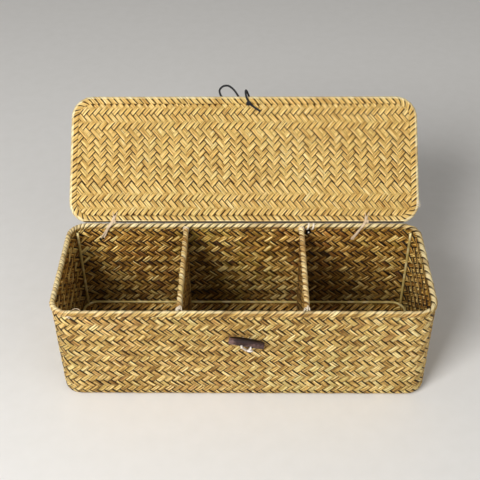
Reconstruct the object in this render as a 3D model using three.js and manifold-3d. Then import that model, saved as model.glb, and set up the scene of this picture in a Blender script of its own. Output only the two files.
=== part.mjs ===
// A woven seagrass box with two dividers, a hinged lid, and a toggle and loop to close it.
// Millimetres, +Z up, +X to the right. The origin is the middle of the underside of the base.
// The lid stands open, held back by its two hinge ties.

import * as THREE from "three";
import { mergeVertices } from "three/addons/utils/BufferGeometryUtils.js";
import Module from "manifold-3d";

const wasm = await Module();
wasm.setup();

// Overall sizes, measured over the rim
const BOX_LENGTH = 370;
const BOX_DEPTH = 138;
const BOX_HEIGHT = 120;
const RIM_CORNER = 20;
const LID_CORNER = 23;
const OPEN_ANGLE = THREE.MathUtils.degToRad(137);

// Woven walls, their folded edges and the wire frame in them
const SEAT_GAP = 0.3;
const WALL = 3;
const LID_THICKNESS = 3;
const FOOT_RADIUS = 10;
const FOLD_SKIN = 1.2;
const FOLD_REACH = 3.5;
const WIRE_RADIUS = 1.4;

// Dividers and the lashings round their borders
const SIDE_COMPARTMENT = 124.5;
const LASHING_WIDTH = 3.5;
const LASHING_DROP = 6.5;

// Raffia, for the hinge ties and the lashings
const RAFFIA = 0.8;
const RAFFIA_SLACK = 0.4;
const TIE_WIDTH = 3.4;
const TIE_WALL_DROP = 16;
const TIE_LID_REACH = 7.5;
const TIE_SLANT = 14.5;
const TIE_KNOT_RADIUS = 2.3;
const LEFT_TIE_INSET = 40;
const RIGHT_TIE_INSET = 64.5;

// Toggle, and the cotton cord that holds it to the front wall
const TOGGLE_LENGTH = 34;
const TOGGLE_RADIUS = 4.3;
const TOGGLE_END_RADIUS = 3.5;
const TOGGLE_ARCH = 0.8;
const TOGGLE_EDGE = 0.5;
const TOGGLE_TILT = THREE.MathUtils.degToRad(12.5);
const TOGGLE_X = 3.3;
const TOGGLE_DROP = 33.4;
const STITCH_BELOW_TOGGLE = 16.6;
const COTTON_RADIUS = 0.75;
const COTTON_BORE_GAP = 0.4;
const COTTON_BORE_SPACING = 8.8;
const COTTON_KNOT_RADIUS = 2.4;

// Elastic loop on the front edge of the lid
const ELASTIC_RADIUS = 1.1;
const KNOT_RADIUS = 2.5;
const KNOT_X = 6.4;
const KNOT_INSET = 5.7;
const TAIL_BALL_RADIUS = 1.5;

// Facets
const CORNER_STEPS = 6;
const FOOT_STEPS = 5;
const FOLD_STEPS = 6;
const BORE_STEPS = 4;
const WIRE_SIDES = 8;
const POST_SIDES = 12;
const BELT_STEPS = 40;
const TOGGLE_SIDES = 16;
const CORD_SIDES = 8;

// Folded edges are an inverted channel over a wire that sits on the edge of the weave
const rimBore = Math.max(WALL / 2, WIRE_RADIUS) + SEAT_GAP;
const rimRadius = rimBore + FOLD_SKIN;
const rimZ = BOX_HEIGHT - rimRadius;
const wallTop = rimZ - WIRE_RADIUS - SEAT_GAP;
const outerInset = rimRadius - WALL / 2;
const innerInset = rimRadius + WALL / 2;
const innerFoot = FOOT_RADIUS - WALL;
const ringInset = innerInset + SEAT_GAP + WIRE_RADIUS;
const lidBore = Math.max(LID_THICKNESS / 2, WIRE_RADIUS) + SEAT_GAP;
const lidRadius = lidBore + FOLD_SKIN;

// The lid's rear roll rolls round the basket's rear rim. One fixed axis gives both end places.
const rollSpan = rimRadius + lidRadius + SEAT_GAP;
const quarterTurn = OPEN_ANGLE / 4;
const rimY = BOX_DEPTH / 2 - rimRadius;
const hingeReach = rollSpan * (Math.cos(quarterTurn) - Math.sin(quarterTurn) / Math.tan(OPEN_ANGLE / 2));
const hinge = new THREE.Vector3(
  0,
  rimY + hingeReach * Math.sin(quarterTurn),
  rimZ + hingeReach * Math.cos(quarterTurn),
);
const lidZ = rimZ + rollSpan;
const lidY = BOX_DEPTH / 2 - lidRadius;

// What is set in from the ends of the box and from the front roll of the lid
const dividerX = BOX_LENGTH / 2 - SIDE_COMPARTMENT;
const leftTieX = LEFT_TIE_INSET - BOX_LENGTH / 2;
const rightTieX = BOX_LENGTH / 2 - RIGHT_TIE_INSET;
const knotReach = 2 * lidY - KNOT_INSET;

// Finishes
const finish = (color, roughness, metalness = 0) =>
  new THREE.MeshStandardMaterial({ color, roughness, metalness });
const seagrass = finish(0xbfa05f, 0.72);
const lidSeagrass = finish(0xd9ba70, 0.7);
const paleFold = finish(0xd8c48a, 0.66);
const bronzeWire = finish(0x8f8455, 0.42, 0.35);
const raffia = finish(0xe2cfab, 0.68);
const darkHorn = finish(0x3c2a2a, 0.3);
const cotton = finish(0xf0e6da, 0.85);
const elastic = finish(0x15171a, 0.8);

const box = new THREE.Group();
const lid = new THREE.Group();
lid.position.copy(hinge);
lid.rotation.x = -OPEN_ANGLE;
const lidPieces = new THREE.Group();
lidPieces.position.copy(hinge).negate();
lid.add(lidPieces);
box.add(lid);

function addPiece(group, name, geometry, material) {
  const mesh = new THREE.Mesh(geometry, material);
  mesh.name = name;
  group.add(mesh);
}

// Joining and cutting

function toSolid(geometry) {
  const bare = geometry.clone();
  bare.deleteAttribute("normal");
  bare.deleteAttribute("uv");
  const merged = mergeVertices(bare);
  const triVerts = new Uint32Array(merged.index.array);
  const vertProperties = new Float32Array(merged.attributes.position.array);
  return new wasm.Manifold(new wasm.Mesh({ numProp: 3, vertProperties, triVerts }));
}

function fromSolid(solid) {
  const { vertProperties, triVerts } = solid.getMesh();
  const geometry = new THREE.BufferGeometry();
  geometry.setAttribute("position", new THREE.BufferAttribute(vertProperties, 3));
  geometry.setIndex(new THREE.BufferAttribute(triVerts, 1));
  geometry.computeVertexNormals();
  return geometry;
}

function cut(geometry, ...tools) {
  return fromSolid(tools.reduce((solid, tool) => solid.subtract(toSolid(tool)), toSolid(geometry)));
}

function join(first, ...others) {
  return fromSolid(others.reduce((solid, other) => solid.add(toSolid(other)), toSolid(first)));
}

// Shapes that follow the rounded outline of the box

function outlineRing(inset, z, corner) {
  const radius = corner - inset;
  const ring = [];
  for (let quarter = 0; quarter < 4; quarter++) {
    const sideX = quarter === 0 || quarter === 3 ? 1 : -1;
    const sideY = quarter < 2 ? 1 : -1;
    for (let step = 0; step <= CORNER_STEPS; step++) {
      const angle = ((quarter + step / CORNER_STEPS) * Math.PI) / 2;
      const x = sideX * (BOX_LENGTH / 2 - corner) + radius * Math.cos(angle);
      const y = sideY * (BOX_DEPTH / 2 - corner) + radius * Math.sin(angle);
      ring.push([x, y, z]);
    }
  }
  return ring;
}

// A profile of [inset, z] points goes round the outline. It closes on itself, or ends in flat caps.
function roundOutline(profile, corner, closed) {
  const rings = profile.map(([inset, z]) => outlineRing(inset, z, corner));
  const count = rings[0].length;
  const points = rings.flat();
  const faces = [];
  const spans = closed ? rings.length : rings.length - 1;
  for (let i = 0; i < spans; i++) {
    const low = i * count;
    const high = ((i + 1) % rings.length) * count;
    for (let j = 0; j < count; j++) {
      const next = (j + 1) % count;
      faces.push(low + j, low + next, high + next, low + j, high + next, high + j);
    }
  }
  if (!closed) {
    const last = (rings.length - 1) * count;
    points.push([0, 0, profile[0][1]], [0, 0, profile.at(-1)[1]]);
    for (let j = 0; j < count; j++) {
      const next = (j + 1) % count;
      faces.push(points.length - 2, next, j, points.length - 1, last + j, last + next);
    }
  }
  const geometry = new THREE.BufferGeometry();
  geometry.setAttribute("position", new THREE.Float32BufferAttribute(points.flat(), 3));
  geometry.setIndex(faces);
  geometry.computeVertexNormals();
  return geometry;
}

function arcPoints(steps, from, to, place) {
  const points = [];
  for (let step = 0; step <= steps; step++) {
    const angle = from + ((to - from) * step) / steps;
    points.push(place(Math.cos(angle), Math.sin(angle)));
  }
  return points;
}

// Points are [reach towards the open side, side], from the tip of one leg round to the tip of the other
function foldProfile(radius, bore) {
  const quarter = Math.PI / 2;
  return [
    [FOLD_REACH, -radius],
    ...arcPoints(FOLD_STEPS, -quarter, quarter, (c, s) => [-radius * c, radius * s]),
    [FOLD_REACH, radius],
    [FOLD_REACH, bore],
    ...arcPoints(BORE_STEPS, quarter, -quarter, (c, s) => [-bore * c, bore * s]),
    [FOLD_REACH, -bore],
  ];
}

function wireProfile(inset, z) {
  const profile = [];
  for (let side = 0; side < WIRE_SIDES; side++) {
    const angle = (2 * Math.PI * side) / WIRE_SIDES;
    profile.push([inset - WIRE_RADIUS * Math.cos(angle), z + WIRE_RADIUS * Math.sin(angle)]);
  }
  return profile;
}

// Flat outlines given thickness. An outline for a sheet across X is drawn in Y and Z.

function sheetAcrossX(outline, thickness, hole = []) {
  const shape = new THREE.Shape(outline.map(([y, z]) => new THREE.Vector2(y, z)));
  if (hole.length > 0) {
    shape.holes.push(new THREE.Path(hole.map(([y, z]) => new THREE.Vector2(y, z))));
  }
  const sheet = new THREE.ExtrudeGeometry(shape, { depth: thickness, bevelEnabled: false });
  sheet.translate(0, 0, -thickness / 2);
  const toYZ = new THREE.Matrix4().makeBasis(
    new THREE.Vector3(0, 1, 0),
    new THREE.Vector3(0, 0, 1),
    new THREE.Vector3(1, 0, 0),
  );
  return sheet.applyMatrix4(toYZ);
}

function turnAboutZ(geometry) {
  return geometry.rotateZ(Math.PI / 2);
}

// The taut outline round a set of discs, each [across, up, radius], grown by a reach
function beltOutline(discs, reach) {
  const outline = [];
  for (let step = 0; step < BELT_STEPS; step++) {
    const angle = (2 * Math.PI * step) / BELT_STEPS;
    const across = Math.cos(angle);
    const up = Math.sin(angle);
    const support = ([y, z, radius]) => y * across + z * up + radius;
    const [y, z, radius] = discs.reduce((best, disc) => (support(disc) > support(best) ? disc : best));
    outline.push([y + (radius + reach) * across, z + (radius + reach) * up]);
  }
  return outline;
}

// A closed strap across X. A grown one, larger by the seat gap all round, cuts its passage.
function strap(discs, width, growth) {
  const outside = beltOutline(discs, RAFFIA_SLACK + RAFFIA + growth);
  const inside = beltOutline(discs, RAFFIA_SLACK - growth);
  return sheetAcrossX(outside, width + 2 * growth, inside);
}

function tube(points, radius, steps) {
  const ring = [];
  for (let side = 0; side < CORD_SIDES; side++) {
    const angle = (2 * Math.PI * side) / CORD_SIDES;
    ring.push(new THREE.Vector2(radius * Math.cos(angle), radius * Math.sin(angle)));
  }
  const path = new THREE.CatmullRomCurve3(points, false, "centripetal");
  const settings = { steps, bevelEnabled: false, extrudePath: path };
  return new THREE.ExtrudeGeometry(new THREE.Shape(ring), settings);
}

function ball(radius, x, y, z) {
  return new THREE.SphereGeometry(radius, 12, 8).translate(x, y, z);
}

// Places on the lid: x, the distance up the lid from its rear roll, and how far out of its inner face
function onLid(x, up, out) {
  return new THREE.Vector3(x, lidY - up, lidZ - out);
}

// The same places with the lid open
function onOpenLid(x, up, out) {
  return onLid(x, up, out).sub(hinge).applyAxisAngle(new THREE.Vector3(1, 0, 0), -OPEN_ANGLE).add(hinge);
}

function toClosedLid(geometry) {
  geometry.translate(0, -hinge.y, -hinge.z);
  geometry.rotateX(OPEN_ANGLE);
  return geometry.translate(0, hinge.y, hinge.z);
}

// Hinge ties: a strip loops through the rear wall, round both rolls and through the lid, on a slant
const tieWallZ = rimZ - TIE_WALL_DROP;
const openRoll = onOpenLid(0, 0, 0);
const openFold = onOpenLid(0, FOLD_REACH, 0);
const tieLidPoint = onOpenLid(0, TIE_LID_REACH, 0);
const tieDiscs = [
  [rimY, rimZ, rimRadius],
  [rimY, rimZ - FOLD_REACH, rimRadius],
  [openRoll.y, openRoll.z, lidRadius],
  [openFold.y, openFold.z, lidRadius],
  [rimY, tieWallZ, WALL / 2],
  [tieLidPoint.y, tieLidPoint.z, LID_THICKNESS / 2],
];

function slantTie(geometry, x) {
  const runY = tieLidPoint.y - rimY;
  const runZ = tieLidPoint.z - tieWallZ;
  const position = geometry.attributes.position;
  for (let i = 0; i < position.count; i++) {
    const y = position.getY(i) - rimY;
    const z = position.getZ(i) - tieWallZ;
    const share = (y * runY + z * runZ) / (runY * runY + runZ * runZ);
    position.setX(i, position.getX(i) + x + TIE_SLANT * (share - 1 / 2));
  }
  return geometry;
}

function hingeTie(x) {
  const knotOut = LID_THICKNESS / 2 + RAFFIA_SLACK + TIE_KNOT_RADIUS;
  const knot = onOpenLid(x + TIE_SLANT / 2, TIE_LID_REACH + RAFFIA, knotOut);
  return join(slantTie(strap(tieDiscs, TIE_WIDTH, 0), x), ball(TIE_KNOT_RADIUS, knot.x, knot.y, knot.z));
}

function tiePassage(x) {
  return slantTie(strap(tieDiscs, TIE_WIDTH, SEAT_GAP), x);
}

// Toggle places: along the toggle, then through it from front below to back above, then across that
const boreAngle = Math.atan2(3, 4);
const toggleY = BOX_DEPTH / 2 - outerInset + 2 * (SEAT_GAP + ELASTIC_RADIUS) + TOGGLE_RADIUS;
const toggleCentre = new THREE.Vector3(TOGGLE_X, -toggleY, BOX_HEIGHT - TOGGLE_DROP);
const stitchZ = toggleCentre.z - STITCH_BELOW_TOGGLE;
const stitchHoleRadius = 2 * COTTON_RADIUS + SEAT_GAP + COTTON_BORE_GAP / 2;

function placeOnToggle(geometry) {
  geometry.rotateY(TOGGLE_TILT);
  return geometry.translate(toggleCentre.x, toggleCentre.y, toggleCentre.z);
}

function onToggle(along, through, across) {
  const y = through * Math.cos(boreAngle) - across * Math.sin(boreAngle);
  const z = through * Math.sin(boreAngle) + across * Math.cos(boreAngle);
  const point = new THREE.Vector3(along, y, z);
  return point.applyAxisAngle(new THREE.Vector3(0, 1, 0), TOGGLE_TILT).add(toggleCentre);
}

function toggleBody() {
  const half = TOGGLE_LENGTH / 2;
  const swell = TOGGLE_RADIUS - TOGGLE_END_RADIUS;
  const barrelShares = [-1, -0.66, -0.33, 0, 0.33, 0.66, 1];
  const profile = [new THREE.Vector2(0, -half), new THREE.Vector2(TOGGLE_END_RADIUS - TOGGLE_EDGE, -half)];
  for (const share of barrelShares) {
    const radius = TOGGLE_END_RADIUS + swell * (1 - share * share);
    profile.push(new THREE.Vector2(radius, share * (half - TOGGLE_EDGE)));
  }
  profile.push(new THREE.Vector2(TOGGLE_END_RADIUS - TOGGLE_EDGE, half), new THREE.Vector2(0, half));
  const body = new THREE.LatheGeometry(profile, TOGGLE_SIDES).rotateZ(-Math.PI / 2);
  const position = body.attributes.position;
  for (let i = 0; i < position.count; i++) {
    const share = position.getX(i) / half;
    position.setZ(i, position.getZ(i) + TOGGLE_ARCH * (1 - share * share));
  }
  const bores = [-1, 1].map((side) => {
    const boreRadius = COTTON_RADIUS + COTTON_BORE_GAP;
    const bore = new THREE.CylinderGeometry(boreRadius, boreRadius, 4 * TOGGLE_RADIUS, POST_SIDES);
    bore.rotateX(boreAngle);
    return bore.translate((side * COTTON_BORE_SPACING) / 2, 0, 0);
  });
  return placeOnToggle(cut(body, ...bores));
}

// One cord: out through the wall, up the front, through both bores, and back the same way
function toggleCord() {
  const skin = TOGGLE_RADIUS + SEAT_GAP + COTTON_RADIUS;
  const spread = COTTON_RADIUS + COTTON_BORE_GAP / 4;
  const bore = COTTON_BORE_SPACING / 2;
  const wallY = -(BOX_DEPTH / 2 - outerInset);
  const half = (side) => [
    new THREE.Vector3(TOGGLE_X + side * spread, wallY + WALL + SEAT_GAP + COTTON_KNOT_RADIUS, stitchZ),
    new THREE.Vector3(TOGGLE_X + side * spread, wallY + WALL / 2, stitchZ),
    new THREE.Vector3(TOGGLE_X + side * spread, wallY - COTTON_RADIUS, stitchZ),
    onToggle(side * bore * 0.5, -skin, -2.2 * skin),
    onToggle(side * bore * 0.9, -1.1 * skin, -1.1 * skin),
    onToggle(side * bore, -1.25 * skin, -0.4 * skin),
    onToggle(side * bore, -1.1 * skin, -0.04 * skin),
    onToggle(side * bore, -0.8 * skin, 0),
    onToggle(side * bore, 0, 0),
    onToggle(side * bore, 0.84 * skin, 0),
    onToggle(side * bore * 0.86, 1.08 * skin, 0),
    onToggle(side * bore * 0.55, 1.14 * skin, 0),
  ];
  const points = [...half(-1), ...half(1).reverse()];
  const knotY = wallY + WALL + SEAT_GAP + COTTON_KNOT_RADIUS;
  return join(tube(points, COTTON_RADIUS, 84), ball(COTTON_KNOT_RADIUS, TOGGLE_X, knotY, stitchZ));
}

// Elastic loop: from the knot over the front edge, round behind the lid, and back through the lid.
// Its route is a list of places round the knot's hole, each x, up, out.
const elasticRoute = [
  [-0.9, 2.8, 4.5],
  [-2.1, 5.7, 4.7],
  [-2.9, 8.7, 4.7],
  [-3.3, 11.9, 4.2],
  [-3.2, 14.4, 2.6],
  [-2.6, 15.4, 0.0],
  [-1.5, 14.3, -2.7],
  [-0.1, 11.3, -4.6],
  [1.5, 7.3, -5.6],
  [3.2, 3.0, -6.0],
  [3.8, -1.5, -6.0],
  [1.4, -5.5, -5.8],
  [-3.4, -7.3, -5.4],
  [-9.4, -7.3, -5.0],
  [-15.4, -5.7, -4.7],
  [-21.2, -2.4, -4.6],
  [-26.0, 2.3, -4.8],
  [-29.8, 7.1, -4.9],
  [-32.8, 11.7, -4.8],
  [-33.0, 16.9, -4.7],
  [-29.2, 20.7, -4.6],
  [-23.7, 21.3, -4.6],
  [-18.6, 18.3, -4.7],
  [-14.6, 13.5, -4.9],
  [-11.0, 8.3, -5.6],
  [-7.2, 4.1, -7.2],
  [-3.3, 1.2, -8.1],
  [-0.6, 0.1, -6.0],
  [0.0, 0.0, -2.6],
  [0.0, 0.0, 1.4],
];

function roundKnot(route) {
  return route.map(([x, up, out]) => onLid(KNOT_X + x, knotReach + up, out));
}

function elasticLoop() {
  return tube(roundKnot(elasticRoute), ELASTIC_RADIUS, 64);
}

function elasticKnot() {
  const face = LID_THICKNESS / 2 + SEAT_GAP;
  const knot = onLid(KNOT_X, knotReach, face + KNOT_RADIUS);
  const tailRoute = [
    [0.0, 0.0, 4.3],
    [2.8, -1.7, 3.6],
    [7.2, -4.9, 3.0],
    [12.8, -8.8, 3.4],
  ];
  const tail = roundKnot(tailRoute);
  const end = tail.at(-1);
  return join(
    ball(KNOT_RADIUS, knot.x, knot.y, knot.z),
    tube(tail, ELASTIC_RADIUS, 12),
    ball(TAIL_BALL_RADIUS, end.x, end.y, end.z),
  );
}

// Dividers
const panelHalf = BOX_DEPTH / 2 - innerInset - SEAT_GAP;
const borderHalf = BOX_DEPTH / 2 - 2 * rimRadius - SEAT_GAP;
const rodHalf = rimY - WIRE_RADIUS - SEAT_GAP;
const lashingY = borderHalf - SEAT_GAP - LASHING_WIDTH / 2;
const lashingDiscs = [
  [0, rimZ, rimRadius],
  [0, rimZ - FOLD_REACH, rimRadius],
  [0, rimZ - LASHING_DROP, WALL / 2],
];

function lashing(x, side, growth) {
  return turnAboutZ(strap(lashingDiscs, LASHING_WIDTH, growth)).translate(x, side * lashingY, 0);
}

// The lower corners follow the foot of the basket and step round the ring on the floor
function dividerPanel(x) {
  const footY = BOX_DEPTH / 2 - outerInset - FOOT_RADIUS;
  const footRadius = innerFoot - SEAT_GAP;
  const notchY = BOX_DEPTH / 2 - ringInset - WIRE_RADIUS - SEAT_GAP;
  const notchTop = FOOT_RADIUS + WIRE_RADIUS + SEAT_GAP;
  const sweep = Math.asin((notchY - footY) / footRadius);
  const underRim = rimZ - FOLD_REACH - SEAT_GAP;
  const quarter = [
    ...arcPoints(2, 0, sweep, (c, s) => [footY + footRadius * s, FOOT_RADIUS - footRadius * c]),
    [notchY, notchTop],
    [panelHalf, notchTop],
    [panelHalf, underRim],
    [borderHalf, underRim],
    [borderHalf, wallTop],
  ];
  const mirrored = quarter.map(([y, z]) => [-y, z]).reverse();
  const sheet = sheetAcrossX([...quarter, ...mirrored], WALL).translate(x, 0, 0);
  return cut(sheet, lashing(x, 1, SEAT_GAP), lashing(x, -1, SEAT_GAP));
}

function dividerBorder(x) {
  const outline = foldProfile(rimRadius, rimBore).map(([reach, side]) => [side, rimZ - reach]);
  return turnAboutZ(sheetAcrossX(outline, 2 * borderHalf)).translate(x, 0, 0);
}

function rodAlongY(radius, length, x, z) {
  return new THREE.CylinderGeometry(radius, radius, length, POST_SIDES).translate(x, 0, z);
}

// Basket
const shellProfile = [
  ...arcPoints(FOOT_STEPS, 0, Math.PI / 2, (c, s) => [
    outerInset + FOOT_RADIUS * (1 - s),
    FOOT_RADIUS * (1 - c),
  ]),
  [outerInset, wallTop],
  [innerInset, wallTop],
  ...arcPoints(FOOT_STEPS, Math.PI / 2, 0, (c, s) => [
    innerInset + innerFoot * (1 - s),
    WALL + innerFoot * (1 - c),
  ]),
];
const stitchHole = new THREE.CylinderGeometry(stitchHoleRadius, stitchHoleRadius, 4 * WALL, POST_SIDES);
stitchHole.translate(TOGGLE_X, -(BOX_DEPTH / 2 - rimRadius), stitchZ);
const shell = cut(
  roundOutline(shellProfile, RIM_CORNER, false),
  tiePassage(leftTieX),
  tiePassage(rightTieX),
  stitchHole,
);
addPiece(box, "basket_shell", shell, seagrass);

const rimProfile = foldProfile(rimRadius, rimBore).map(([reach, side]) => [rimRadius + side, rimZ - reach]);
const rodSockets = [-1, 1].map((side) =>
  rodAlongY(WIRE_RADIUS + SEAT_GAP, 2 * (rimY - rimBore / 2), side * dividerX, rimZ),
);
const rim = cut(roundOutline(rimProfile, RIM_CORNER, true), ...rodSockets);
addPiece(box, "rim_fold", rim, paleFold);
addPiece(box, "rim_wire", roundOutline(wireProfile(rimRadius, rimZ), RIM_CORNER, true), bronzeWire);
addPiece(box, "floor_ring", roundOutline(wireProfile(ringInset, FOOT_RADIUS), RIM_CORNER, true), bronzeWire);

const postFoot = FOOT_RADIUS + WIRE_RADIUS + SEAT_GAP;
const postTop = rimZ - FOLD_REACH - SEAT_GAP;
const postReach = (RIM_CORNER - ringInset) * Math.SQRT1_2;
const corners = [
  ["front_left", -1, -1],
  ["front_right", 1, -1],
  ["rear_left", -1, 1],
  ["rear_right", 1, 1],
];
for (const [place, sideX, sideY] of corners) {
  const post = new THREE.CylinderGeometry(WIRE_RADIUS, WIRE_RADIUS, postTop - postFoot, POST_SIDES);
  post.rotateX(Math.PI / 2);
  post.translate(
    sideX * (BOX_LENGTH / 2 - RIM_CORNER + postReach),
    sideY * (BOX_DEPTH / 2 - RIM_CORNER + postReach),
    (postTop + postFoot) / 2,
  );
  addPiece(box, `corner_post_${place}`, post, bronzeWire);
}

for (const [place, side] of [["left", -1], ["right", 1]]) {
  const x = side * dividerX;
  addPiece(box, `divider_panel_${place}`, dividerPanel(x), seagrass);
  addPiece(box, `divider_border_${place}`, dividerBorder(x), paleFold);
  addPiece(box, `divider_rod_${place}`, rodAlongY(WIRE_RADIUS, 2 * rodHalf, x, rimZ), bronzeWire);
  addPiece(box, `lashing_front_${place}`, lashing(x, -1, 0), raffia);
  addPiece(box, `lashing_rear_${place}`, lashing(x, 1, 0), raffia);
}

addPiece(box, "hinge_tie_left", hingeTie(leftTieX), raffia);
addPiece(box, "hinge_tie_right", hingeTie(rightTieX), raffia);
addPiece(box, "toggle", toggleBody(), darkHorn);
addPiece(box, "toggle_cord", toggleCord(), cotton);

// Lid, drawn closed and opened by its group
const panelInset = lidRadius + WIRE_RADIUS + SEAT_GAP;
const panelProfile = [
  [panelInset, lidZ - LID_THICKNESS / 2],
  [panelInset, lidZ + LID_THICKNESS / 2],
];
const elasticHoleRadius = ELASTIC_RADIUS + SEAT_GAP;
const elasticHole = new THREE.CylinderGeometry(
  elasticHoleRadius,
  elasticHoleRadius,
  4 * LID_THICKNESS,
  POST_SIDES,
);
const elasticExit = onLid(KNOT_X, knotReach, 0);
elasticHole.rotateX(Math.PI / 2).translate(elasticExit.x, elasticExit.y, elasticExit.z);
const lidPanel = cut(
  roundOutline(panelProfile, LID_CORNER, false),
  toClosedLid(tiePassage(leftTieX)),
  toClosedLid(tiePassage(rightTieX)),
  elasticHole,
);
addPiece(lidPieces, "lid_panel", lidPanel, lidSeagrass);

const lidFoldProfile = foldProfile(lidRadius, lidBore).map(([reach, side]) => [lidRadius + reach, lidZ + side]);
addPiece(lidPieces, "lid_fold", roundOutline(lidFoldProfile, LID_CORNER, true), paleFold);
addPiece(lidPieces, "lid_wire", roundOutline(wireProfile(lidRadius, lidZ), LID_CORNER, true), bronzeWire);
addPiece(lidPieces, "elastic_knot", elasticKnot(), elastic);
addPiece(lidPieces, "elastic_loop", elasticLoop(), elastic);

export default box;
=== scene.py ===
"""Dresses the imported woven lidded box: plaited strips, folded edges, wire, raffia, toggle and elastic.

Lengths in the classes are millimetres in the frame of the CAD model: +X to the right, +Z up, and the
origin in the middle of the underside. Meshes are written in metres.
"""

import logging
import math
from collections.abc import Callable, Sequence
from dataclasses import dataclass, field, replace
from enum import Enum

import bmesh
import bpy
import numpy as np
from mathutils import Matrix, Vector


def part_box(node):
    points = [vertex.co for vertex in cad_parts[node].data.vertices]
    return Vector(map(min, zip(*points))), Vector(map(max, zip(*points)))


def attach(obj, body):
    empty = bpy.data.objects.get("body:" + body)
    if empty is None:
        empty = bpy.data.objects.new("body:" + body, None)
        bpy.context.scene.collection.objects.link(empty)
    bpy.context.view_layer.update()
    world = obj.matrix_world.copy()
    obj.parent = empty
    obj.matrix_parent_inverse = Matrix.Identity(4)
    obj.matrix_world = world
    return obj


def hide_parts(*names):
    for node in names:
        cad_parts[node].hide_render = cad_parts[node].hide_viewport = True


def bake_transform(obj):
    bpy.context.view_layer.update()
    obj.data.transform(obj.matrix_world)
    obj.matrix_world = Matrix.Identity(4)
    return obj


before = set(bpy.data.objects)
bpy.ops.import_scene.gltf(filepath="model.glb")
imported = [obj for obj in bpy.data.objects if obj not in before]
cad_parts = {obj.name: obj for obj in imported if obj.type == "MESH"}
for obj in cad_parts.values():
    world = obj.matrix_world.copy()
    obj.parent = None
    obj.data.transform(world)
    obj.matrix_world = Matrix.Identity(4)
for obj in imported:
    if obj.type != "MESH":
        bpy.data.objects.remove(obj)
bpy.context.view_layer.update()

MM = 0.001
TURN = 2 * math.pi

log = logging.getLogger("woven_box")

# A Place moves points. Flat and Spot are one point in two and in three dimensions.
Place = Callable[[np.ndarray], np.ndarray]
Colour = tuple[float, float, float, float]
Flat = tuple[float, float]
Spot = tuple[float, float, float]
Route = tuple[Spot, ...]
Material = bpy.types.Material
Piece = bpy.types.Object


def srgb(red: int, green: int, blue: int) -> Colour:
    """Turns a colour of 0 to 255 a channel into the linear values that a colour socket takes."""
    def channel(value: int) -> float:
        """Linear value of one channel."""
        share = value / 255
        return share / 12.92 if share <= 0.04045 else ((share + 0.055) / 1.055) ** 2.4

    return channel(red), channel(green), channel(blue), 1.0


def even_stops(*colours: tuple[int, int, int]) -> tuple[tuple[float, Colour], ...]:
    """Spreads colours of 0 to 255 a channel evenly over a ramp."""
    return tuple((k / (len(colours) - 1), srgb(*colour)) for k, colour in enumerate(colours))


# Node trees


def math_method(operation: str, swapped: bool = False) -> Callable[..., "Wire"]:
    """Makes the method that stands for one operation of the Math node.

    Args:
        operation: the operation.
        swapped: whether the wire is the second value.

    Returns:
        The method.
    """
    def method(wire: "Wire", *others: "Wire | float") -> "Wire":
        """Adds the node and links the wire and the other values to it."""
        values = (*others, wire) if swapped else (wire, *others)
        return wire.graph.node("ShaderNodeMath", {"operation": operation}, dict(enumerate(values)))

    return method


class Wire:
    """An output of a node. Python's operators on it add the Math nodes of the same sum."""

    __add__ = math_method("ADD")
    __radd__ = math_method("ADD", True)
    __sub__ = math_method("SUBTRACT")
    __rsub__ = math_method("SUBTRACT", True)
    __mul__ = math_method("MULTIPLY")
    __rmul__ = math_method("MULTIPLY", True)
    __truediv__ = math_method("DIVIDE")
    __mod__ = math_method("FLOORED_MODULO")
    __lt__ = math_method("LESS_THAN")
    __gt__ = math_method("GREATER_THAN")
    __abs__ = math_method("ABSOLUTE")
    largest = math_method("MAXIMUM")
    least = math_method("MINIMUM")
    sine = math_method("SINE")
    root = math_method("SQRT")
    floor = math_method("FLOOR")

    def __init__(self, graph: "Graph", socket: bpy.types.NodeSocket) -> None:
        """Wraps one output socket of a graph."""
        self.graph = graph
        self.socket = socket

    def __floordiv__(self, other: "Wire | float") -> "Wire":
        """Quotient, rounded down."""
        return (self / other).floor()

    def held(self) -> "Wire":
        """The value kept between zero and one."""
        return self.largest(0.0).least(1.0)

    def crowded(self, pull: float, end: float) -> "Wire":
        """Moves what lies inside minus end to end outwards, and leaves both ends."""
        return self * (1 + pull - pull / end**2 * self * self)

    def parts(self) -> tuple["Wire", "Wire", "Wire"]:
        """The X, Y and Z of a vector."""
        outputs = self.graph.node("ShaderNodeSeparateXYZ", {}, {0: self}).socket.node.outputs
        return Wire(self.graph, outputs[0]), Wire(self.graph, outputs[1]), Wire(self.graph, outputs[2])


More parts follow.
